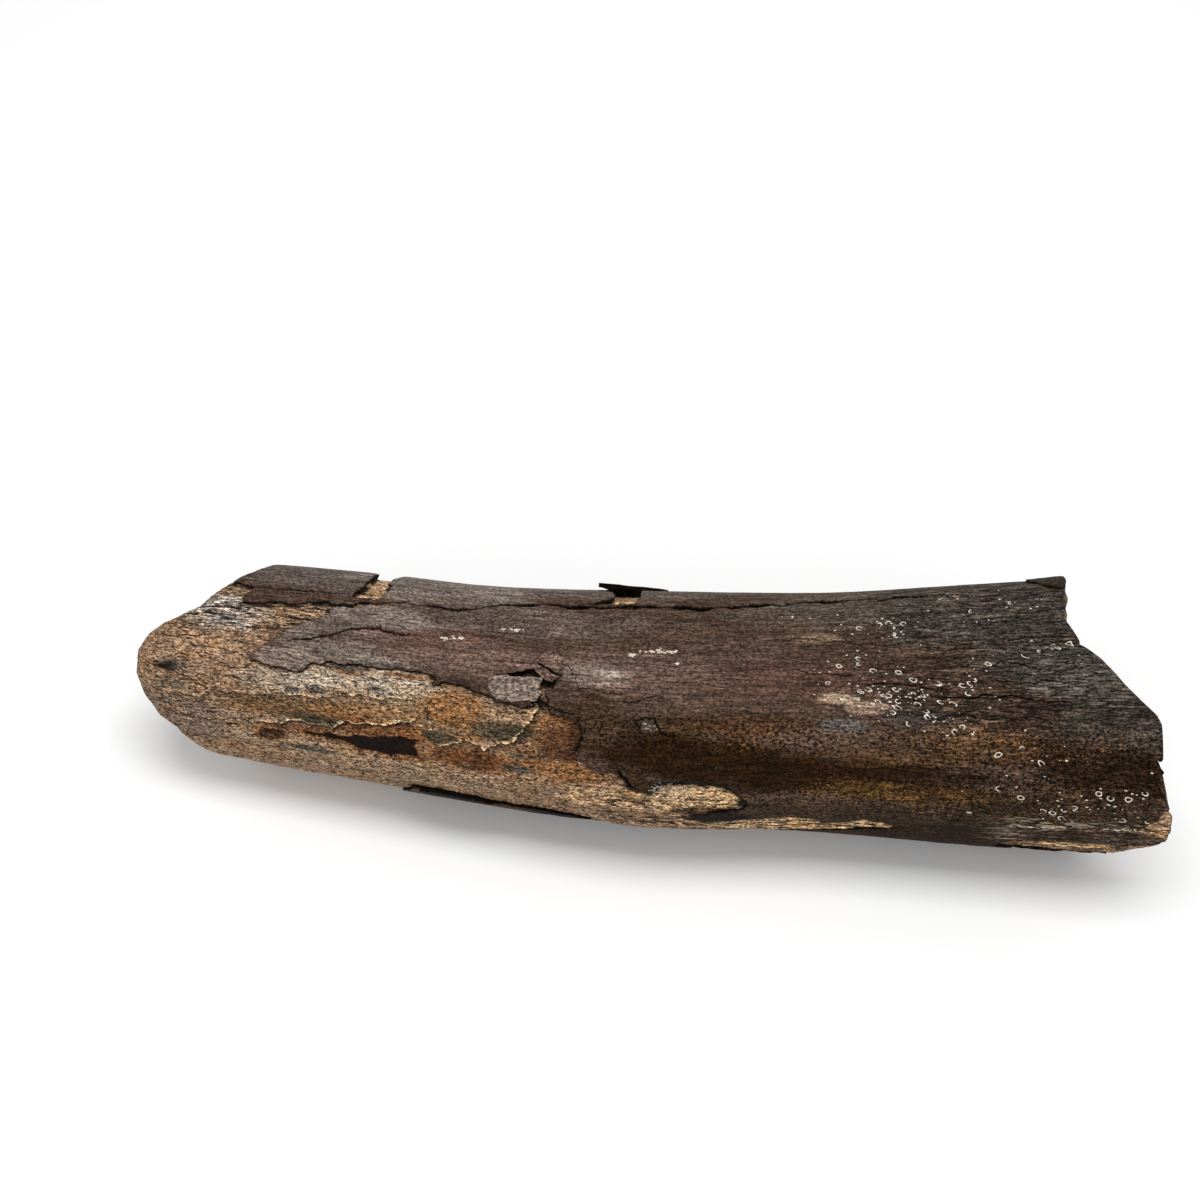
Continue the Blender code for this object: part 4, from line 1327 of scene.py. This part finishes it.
def make_skin(fields, outlines, cracks, curl):
    """The dark skin over most of the bone, as a closed shell with broken edges."""
    (top, top_faces), (low, low_faces) = skin_maps(fields, outlines, cracks, curl)
    x, angle, place = survey(top)
    lift, shade, gritty, ripple, edge = skin_form(top, fields, cracks, curl)
    glint, striae = skin_zones(x, angle, gritty)
    tint = stained(x, angle, place, "chocolate", SKIN_STAINS, SKIN_STAIN_SEED)
    rim = broken_rim(top, top_faces)
    used, lip_rim = np.unique(rim, return_inverse=True)
    lip = top[used]
    first, second = (lip_rim.reshape(-1, 2) + len(top) + len(low)).T
    points = np.concatenate([
        map_position(top, lift),
        map_position(tucked(low, fields), -SKIN_ROOT),
        map_position(lip, -LIP_DEPTH),
        map_position(tucked(lip, fields), -SKIN_ROOT),
    ])
    faces = np.concatenate([
        top_faces,
        low_faces[:, ::-1] + len(top),
        strip(rim[:, 0], first, rim[:, 1], second),
        strip(first, first + len(lip), second, second + len(lip)),
    ])
    low_zeros, root_ones = np.zeros(len(low)), np.ones(len(lip))
    # Painted shade on the broken edges, not wear: the wall colour darkens their walls and, faintly, a thin
    # strip of the top along them; the crack black fills the walls' lower part, under the skin's lip.
    worn = 0.3 * np.maximum(0.0, 1.0 - edge / 0.6)
    attributes = {
        "grain": np.concatenate([place, survey(low)[2], place[used], place[used]]) / 10.0,
        "tint": np.concatenate([tint, plain("chocolate", len(low)), tint[used], tint[used]]),
        "crack": np.concatenate([shade, low_zeros, shade[used], root_ones]),
        "wall": np.concatenate([worn, low_zeros, root_ones, root_ones]),
    }
    for key, values in (("grit", gritty), ("ripple", ripple), ("striae", striae), ("glint", glint)):
        attributes[key] = np.concatenate([values, low_zeros, values[used], np.zeros(len(lip))])
    return build_mesh("dark_skin", points, faces, attributes)


# ---------------- loose flakes

def plate(outline, seed):
    """Map points and faces that fill a broken outline."""
    edge = broken_line(outline, True, FLAKE_ROUGHNESS, FLAKE_CELL, seed)
    low, high = edge.min(0), edge.max(0)
    columns, rows = np.ceil((high - low) / FLAKE_CELL).astype(int)
    loose = low + (square_grid(np.arange(columns), np.arange(rows)) + 0.5) * FLAKE_CELL
    loose = clear_of(loose, np.full(len(loose), FLAKE_CELL), edge)
    flat, faces = triangulate(loose, [edge])
    held = read_raster(distance_raster(edge, 1.5), flat[faces].mean(axis=1)) > 0.0
    return compacted(flat, faces[held])


def make_flakes():
    """Flakes of the skin that have come loose and stand proud of it."""
    parts = []
    for index, (outline, start_lift, end_lift, tip, thickness, colour) in enumerate(FLAKES):
        flat, faces = plate(outline, FLAKE_SEED + index)
        x, angle, place = survey(flat)
        share = (x - x.min()) / np.ptp(x)
        across = (angle - angle.min()) / np.ptp(angle) - 0.5
        high = start_lift + (end_lift - start_lift) * share + tip * across
        high = high + 0.2 * layered_noise(place, FLAKE_ROUGH_SIZE, FLAKE_NOISE_SEED + index)
        under = np.repeat((0.0, 1.0), len(flat))
        places = np.concatenate([place, place])
        parts.append((*slab(flat, faces, high - thickness, high), places, plain(colour, len(places)), under))
    faces, points, place, tint, under = joined(parts)
    none = np.zeros(len(points))
    # Painted shade: the flakes' walls and undersides take the dark wall colour and most of the crack black.
    attributes = {
        "grain": place / 10.0, "tint": tint, "crack": 0.8 * under, "grit": none + FLAKE_GRIT,
        "ripple": none, "striae": none, "glint": none, "wall": under,
    }
    return build_mesh("loose_flakes", points, faces, attributes)


# ---------------- pale marks on the skin

def ribbon(middle, size, start, sweep, width, rng):
    """A curved stroke round a middle: points on the map, and its faces."""
    closed = sweep >= 360.0
    count = max(6, int(sweep / 22.0))
    turn = np.radians(start + np.linspace(0.0, sweep, count, endpoint=not closed))
    wobble = size * (1.0 + rng.uniform(-0.14, 0.14, count))
    thick = 0.5 * width * (1.0 + rng.uniform(-0.3, 0.3, count))
    if not closed:
        thick *= np.sqrt(np.sin(math.pi * np.linspace(0.08, 0.92, count)))
    ray = np.stack([1.15 * np.cos(turn), 0.9 * np.sin(turn)], -1)
    flat = np.concatenate([middle + ray * (wobble + side * thick)[:, None] for side in (-1.0, 1.0)])
    near = np.arange(count if closed else count - 1)
    after = (near + 1) % count
    triangles = (near, near + count, after + count), (near, after + count, after)
    return flat, np.concatenate([np.stack(corners, -1) for corners in triangles])


def blot(middle, size, rng):
    """An irregular drop: points on the map, and its faces."""
    corners = np.arange(BLOT_CORNERS)
    turn = np.linspace(0.0, 2.0 * math.pi, BLOT_CORNERS, endpoint=False)
    reach = size * rng.uniform(0.45, 1.15, BLOT_CORNERS)
    ring = middle + np.stack([1.5 * np.cos(turn), 0.8 * np.sin(turn)], -1) * reach[:, None]
    faces = np.stack([np.full(BLOT_CORNERS, BLOT_CORNERS), corners, (corners + 1) % BLOT_CORNERS], -1)
    return np.concatenate([ring, middle[None, :]]), faces


def strewn_marks(rng):
    """Crumbs along their streaks, specks around the hooks and a tuft of fibres, as in MARKS."""
    hooks = MARKS[0][2]
    crowd = np.array(hooks)[rng.integers(0, len(hooks), SPECK_COUNT)]
    specks = crowd + rng.normal(0.0, 1.0, crowd.shape) * SPECK_SPREAD
    crumbs = []
    for start, end, count in CRUMBS:
        along = np.array(start) + (np.array(end) - start) * rng.uniform(0.0, 1.0, (count, 1))
        crumbs.extend(along + rng.normal(0.0, CRUMB_SPREAD, (count, 2)))
    wisps = np.array(FLUFF_MIDDLE) + rng.normal(0.0, 1.0, (FLUFF_COUNT, 2)) * FLUFF_SPREAD
    return ("crumb", "cream_shell", crumbs), ("speck", "shell", specks), ("fibre", "fluff", wisps)


def make_marks(fields, bone_cracks, skin_cracks, curl):
    """Thin pale crusts stuck to the skin or the bone: open and full rings, drops, crumbs and fibres."""
    rng = np.random.default_rng(MARK_SEED)
    parts = []
    strewn = strewn_marks(rng)
    for kind, colour, spots in (*MARKS, *strewn):
        for middle in on_map(spots):
            size = rng.uniform(*MARK_SIZES[kind])
            bared = read_raster(fields["bared"], middle[None])[0]
            if kind == "speck" and (middle[0] > MAP_LENGTH - 2.0 or bared > -1.0):
                continue
            if kind in MARK_SWEEP:
                start, sweep = rng.uniform(0.0, 360.0), rng.uniform(*MARK_SWEEP[kind])
                flat, faces = ribbon(middle, size, start, sweep, MARK_WIDTH[kind], rng)
            else:
                flat, faces = blot(middle, size, rng)
            if bared > 0.0:
                lift = bone_form(flat, fields, bone_cracks)[0]
            else:
                lift = skin_form(flat, fields, skin_cracks, curl)[0]
            places = np.tile(survey(flat)[2], (2, 1))
            parts.append((
                *slab(flat, faces, lift - MARK_ROOT, lift + MARK_RISE), places, plain(colour, len(places))))
    faces, points, place, tint = joined(parts)
    return build_mesh("pale_marks", points, faces, {"grain": place / 10.0, "tint": tint})


# ---------------- materials

def new_material(name):
    material = bpy.data.materials.new(name)
    material.use_nodes = True
    return material, material.node_tree.nodes["Principled BSDF"]


class Paint:
    """A material's nodes, with its colour as built up so far over the stains, and its bumps."""

    def __init__(self, name):
        self.material, self.shader = new_material(name)
        self.tree = self.material.node_tree
        self.grain = self.zone("grain", "Vector")
        self.colour = self.zone("tint", "Vector")
        self.normal = None

    def feed(self, socket, value):
        """Give an input a value, or link it to another node's output."""
        if isinstance(value, bpy.types.NodeSocket):
            self.tree.links.new(value, socket)
        else:
            socket.default_value = value

    def node(self, kind, inputs, **settings):
        node = self.tree.nodes.new("ShaderNode" + kind)
        for key, value in settings.items():
            setattr(node, key, value)
        for key, value in inputs.items():
            self.feed(node.inputs[key], value)
        return node

    def zone(self, name, output="Fac"):
        return self.node("Attribute", {}, attribute_name=name).outputs[output]

    def noise(self, stretch, size, detail, rough, bend=0.0):
        """Noise with features of a size in mm, drawn out along the bone by the stretch."""
        place = self.node("VectorMath", {0: self.grain, 1: (1.0 / stretch, 1.0, 1.0)}, operation="MULTIPLY")
        inputs = {"Vector": place.outputs[0], "Scale": 10.0 / size, "Detail": detail}
        return self.node("TexNoise", {**inputs, "Roughness": rough, "Distortion": bend}).outputs["Fac"]

    def spread(self, value, low, high, to_low=0.0, to_high=1.0):
        """A value moved from one range to another and held inside it."""
        inputs = {"Value": value, "From Min": low, "From Max": high, "To Min": to_low, "To Max": to_high}
        return self.node("MapRange", inputs).outputs["Result"]

    def math(self, operation, *values):
        return self.node("Math", dict(enumerate(values)), operation=operation).outputs[0]

    def times(self, first, second):
        return self.math("MULTIPLY", first, second)

    def hairline(self, value, width):
        """1 along the lines where a noise passes through its middle, falling to 0 at the width."""
        away = self.math("ABSOLUTE", self.math("SUBTRACT", value, 0.5))
        return self.spread(away, 0.3 * width, width, 1.0, 0.0)

    def brightened(self, brightness):
        """The colour, brighter or darker."""
        return self.node("VectorMath", {0: self.colour, "Scale": brightness}, operation="SCALE").outputs[0]

    def turn(self, factor, towards):
        """Turn the colour towards a palette colour (a name), towards itself seen through a filter
        (three factors), or towards itself made brighter or darker (a number or a node's output)."""
        if isinstance(towards, str):
            target = (*linear(towards), 1.0)
        elif isinstance(towards, tuple):
            target = self.node("VectorMath", {0: self.colour, 1: towards}, operation="MULTIPLY").outputs[0]
        else:
            target = self.brightened(towards)
        mix = self.node("Mix", {"Factor": factor}, data_type="RGBA")
        first, second = (socket for socket in mix.inputs if socket.type == "RGBA")
        self.feed(first, self.colour)
        self.feed(second, target)
        self.colour = next(socket for socket in mix.outputs if socket.type == "RGBA")

    def bump(self, height, strength, distance):
        inputs = {"Height": height, "Strength": strength, "Distance": distance * MM}
        if self.normal:
            inputs["Normal"] = self.normal
        self.normal = self.node("Bump", inputs).outputs["Normal"]

    def finished(self, roughness, specular):
        """The material, with everything joined to its shader."""
        for key, value in (
            ("Base Color", self.colour), ("Normal", self.normal),
            ("Roughness", roughness), ("Specular IOR Level", specular),
        ):
            self.feed(self.shader.inputs[key], value)
        return self.material


def bone_material():
    """Weathered bone: a fine mottle of cream and dark pores over the stains, long fissures, and painted shade
    in its hollows.
    """
    paint = Paint("bared_bone")
    spread, times = paint.spread, paint.times
    woody = paint.zone("woody")
    patches = paint.noise(3.0, 6.4, 4.0, 0.6, 0.6)
    blotches = paint.noise(3.8, 2.5, 3.0, 0.65, 0.4)
    fibres = paint.noise(6.0, 1.0, 3.0, 0.7)
    mottle = paint.noise(1.8, 0.8, 1.0, 0.8, 0.5)
    pores = paint.noise(2.8, 0.82, 1.0, 0.7, 0.6)
    flecks = paint.noise(2.4, 0.62, 1.0, 0.6, 0.3)
    fissures = paint.noise(11.0, 2.2, 3.0, 0.6, 0.3)
    paint.turn(spread(patches, 0.53, 0.68), RUSTY)
    paint.turn(spread(patches, 0.44, 0.3), ASHEN)
    paint.turn(spread(blotches, 0.58, 0.66, 0.0, 0.8), SLATY)
    paint.turn(spread(blotches, 0.42, 0.34, 0.0, 0.7), RUSTY)
    shade = times(spread(mottle, 0.36, 0.64, 0.24, 1.86), spread(fibres, 0.34, 0.66, 0.6, 1.38))
    paint.colour = paint.brightened(shade)
    paint.turn(times(woody, 0.8), spread(fibres, 0.36, 0.64, 0.35, 1.75))
    paint.turn(spread(flecks, 0.6, 0.7, 0.0, 0.8), 2.0)
    paint.turn(spread(flecks, 0.42, 0.34, 0.0, 0.9), FOXED)
    paint.turn(spread(pores, 0.42, 0.36, 0.0, 0.9), "pore_and_shade")
    lines = times(paint.hairline(fissures, 0.055), spread(blotches, 0.36, 0.44))
    paint.turn(times(woody, lines), "pore_and_shade")
    # Painted shade in the bone's pits, cracks and low spots, from the hollow attribute
    paint.turn(times(paint.zone("hollow"), 0.8), "pore_and_shade")
    for height, strength in ((mottle, 0.8), (fibres, 0.7), (pores, 0.6)):
        paint.bump(height, strength, 0.5)
    return paint.finished(0.85, 0.12)


def skin_material():
    """The dark skin: dull and streaked, gritty at the front with painted glints, furrowed to the right with
    painted highlights on the crests, and black in cracks: painted shade in the open cracks, and drawn
    hairlines.
    """
    paint = Paint("dark_skin")
    spread, times, zone = paint.spread, paint.times, paint.zone
    grit_zone, ripple_zone = zone("grit"), zone("ripple")
    clouds = paint.noise(2.0, 12.0, 5.0, 0.65, 0.5)
    streaks = paint.noise(7.0, 2.0, 4.0, 0.7)
    threads = paint.noise(6.0, 0.7, 2.0, 0.7)
    grit = paint.noise(1.4, 1.0, 1.0, 0.8, 0.3)
    sparks = paint.noise(1.5, 0.9, 1.0, 0.6)
    hairs = paint.noise(10.0, 2.4, 4.0, 0.65)
    brush = paint.noise(22.0, 1.3, 3.0, 0.75, 0.2)
    cuts = paint.noise(14.0, 1.3, 2.0, 0.6, 0.2)
    furrows = paint.noise(7.0, 1.6, 3.0, 0.6, 0.3)
    wisps = paint.noise(6.0, 1.1, 2.0, 0.6, 0.6)
    shade = times(spread(streaks, 0.32, 0.68, 0.68, 1.34), spread(clouds, 0.3, 0.7, 0.68, 1.32))
    paint.colour = paint.brightened(times(shade, spread(threads, 0.34, 0.66, 0.58, 1.4)))
    paint.turn(spread(grit_zone, 0.0, 1.0, 1.0, 0.3), spread(brush, 0.36, 0.64, 0.62, 1.42))
    paint.turn(spread(streaks, 0.6, 0.7, 0.0, 0.5), ASHEN)
    grain_strength = paint.math("ADD", times(grit_zone, 0.35), 0.5)
    paint.turn(grain_strength, spread(grit, 0.38, 0.62, 0.0, 2.3))
    # Painted highlights: pale orange glints on the grit
    bright = times(spread(sparks, 0.59, 0.68), spread(clouds, 0.4, 0.6, 0.2, 1.0))
    paint.turn(times(bright, zone("glint")), "glint_highlight")
    # Painted highlights on the furrows' crests
    paint.turn(times(spread(furrows, 0.55, 0.65), ripple_zone), 1.8)
    paint.turn(times(spread(wisps, 0.52, 0.58), zone("striae")), "streak")
    paint.turn(times(times(paint.hairline(furrows, 0.04), ripple_zone), 0.9), "crack")
    paint.turn(times(paint.hairline(cuts, 0.025), ripple_zone), "crack")
    paint.turn(times(paint.hairline(hairs, 0.012), spread(clouds, 0.45, 0.6, 0.0, 0.8)), "crack")
    # Painted shade: dark on the broken edges' walls, black in the cracks and under the curled edge
    paint.turn(times(zone("wall"), 0.9), "wall")
    paint.turn(zone("crack"), "crack")
    paint.bump(streaks, 0.4, 0.4)
    paint.bump(grit, 0.5, 0.3)
    paint.bump(times(furrows, ripple_zone), 0.8, 0.7)
    return paint.finished(spread(clouds, 0.3, 0.7, 0.55, 0.7), 0.04)


def mark_material():
    """Chalky crust of the pale marks."""
    paint = Paint("pale_crust")
    chalk = paint.noise(1.0, 0.7, 2.0, 0.6)
    paint.colour = paint.brightened(paint.spread(chalk, 0.3, 0.7, 0.55, 1.15))
    paint.bump(chalk, 0.4, 0.1)
    return paint.finished(0.8, 0.5)


# ---------------- the stage

def make_camera():
    data = bpy.data.cameras.new("camera")
    data.sensor_width = CAMERA_SENSOR
    data.lens = CAMERA_LENS
    data.clip_start = 0.01
    camera = add_object("camera", data)
    rise, turn = math.radians(CAMERA_ELEVATION), math.radians(CAMERA_AZIMUTH)
    away = Vector((math.cos(rise) * math.sin(turn), -math.cos(rise) * math.cos(turn), math.sin(rise)))
    camera.location = Vector(CAMERA_AIM) + away * CAMERA_DISTANCE
    camera.rotation_euler = away.to_track_quat("Z", "Y").to_euler()
    bpy.context.scene.camera = camera


def make_light(name, place, size, watts):
    """A rectangular light that points at the origin."""
    data = bpy.data.lights.new(name, "AREA")
    data.shape = "RECTANGLE"
    data.size, data.size_y = size
    data.energy = watts
    light = add_object(name, data)
    light.location = place
    light.rotation_euler = Vector(place).to_track_quat("Z", "Y").to_euler()


def make_floor():
    mesh = bpy.data.meshes.new("floor")
    corners = [(x * FLOOR_HALF, y * FLOOR_HALF, FLOOR_Z) for x, y in ((-1, -1), (1, -1), (1, 1), (-1, 1))]
    mesh.from_pydata(corners, [], [(0, 1, 2, 3)])
    material, shader = new_material("pale_floor")
    shader.inputs["Base Color"].default_value = FLOOR_COLOUR
    shader.inputs["Roughness"].default_value = 0.9
    shader.inputs["Specular IOR Level"].default_value = 0.1
    mesh.materials.append(material)
    floor = add_object("floor", mesh)


def make_stage():
    """The white room: its world, floor, lights and camera."""
    world = bpy.data.worlds.new("soft_room")
    world.use_nodes = True
    background = world.node_tree.nodes["Background"]
    background.inputs["Color"].default_value = ROOM_COLOUR
    background.inputs["Strength"].default_value = ROOM_STRENGTH
    bpy.context.scene.world = world
    bpy.context.scene.view_settings.view_transform = "Standard"
    make_floor()
    for light in LIGHTS:
        make_light(*light)
    make_camera()


# ---------------- everything together

def make_outlines():
    """Every broken outline on the map, by name: the bared parts, the splits and the layers."""
    outlines = {}
    for seed, (key, places) in enumerate(BARED.items()):
        outlines[key] = broken_line(places, True, OUTLINE_ROUGHNESS, SKIN_CELL, seed)
    for index, (places, width) in enumerate(SPLITS):
        route = broken_line(places, False, SPLIT_ROUGHNESS, SPLIT_CELL, SPLIT_SEED + index)
        outlines[f"split{index}"] = crack_outline(route, width)
    for index, (key, places) in enumerate(LAYERS.items()):
        outlines[key] = broken_line(places, True, LEDGE_ROUGHNESS, LEDGE_CELL, LEDGE_SEED + index)
    return outlines


def make_fields(outlines):
    """Rasters of the distance to all bared parts together, to each layer and to each deep scar."""
    gone = [distance_raster(outline) for key, outline in outlines.items() if key not in LAYERS]
    fields = {"bared": np.maximum.reduce(gone)}
    for key in (*LAYERS, *DEEP_SCARS):
        fields[key] = distance_raster(outlines[key])
    fields["lens"] = np.maximum(fields["lens"], fields["lens_spot"])
    return fields


def make_cracks(cracks, cell, seed):
    return [
        (broken_line(places, False, CRACK_ROUGHNESS, cell, seed + index), half, depth)
        for index, (places, half, depth) in enumerate(cracks)
    ]


def finish_piece(piece, material):
    piece.data.materials.append(material)
    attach(piece, "root")
    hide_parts(NODE)


def main():
    outlines = make_outlines()
    fields = make_fields(outlines)
    fissures = [(route, FISSURE_HALF, FISSURE_DEPTH) for route in FISSURES]
    skin_cracks = make_cracks(CRACKS, CRACK_CELL, CRACK_SEED)
    bone_cracks = make_cracks([*BONE_CRACKS, *fissures], BONE_CRACK_CELL, BONE_CRACK_SEED)
    curl = broken_line(CURLED_EDGE, False, LEDGE_ROUGHNESS, CRACK_CELL, CURL_SEED)
    skin = skin_material()
    finish_piece(make_bone(fields, outlines, bone_cracks), bone_material())
    finish_piece(make_skin(fields, outlines, skin_cracks, curl), skin)
    finish_piece(make_flakes(), skin)
    finish_piece(make_marks(fields, bone_cracks, skin_cracks, curl), mark_material())
    make_stage()


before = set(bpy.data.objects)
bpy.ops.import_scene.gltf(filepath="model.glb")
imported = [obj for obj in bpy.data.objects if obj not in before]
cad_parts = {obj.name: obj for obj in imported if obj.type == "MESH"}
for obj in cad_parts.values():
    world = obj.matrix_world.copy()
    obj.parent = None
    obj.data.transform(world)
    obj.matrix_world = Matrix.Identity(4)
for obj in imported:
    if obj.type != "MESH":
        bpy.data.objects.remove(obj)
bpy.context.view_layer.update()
main()
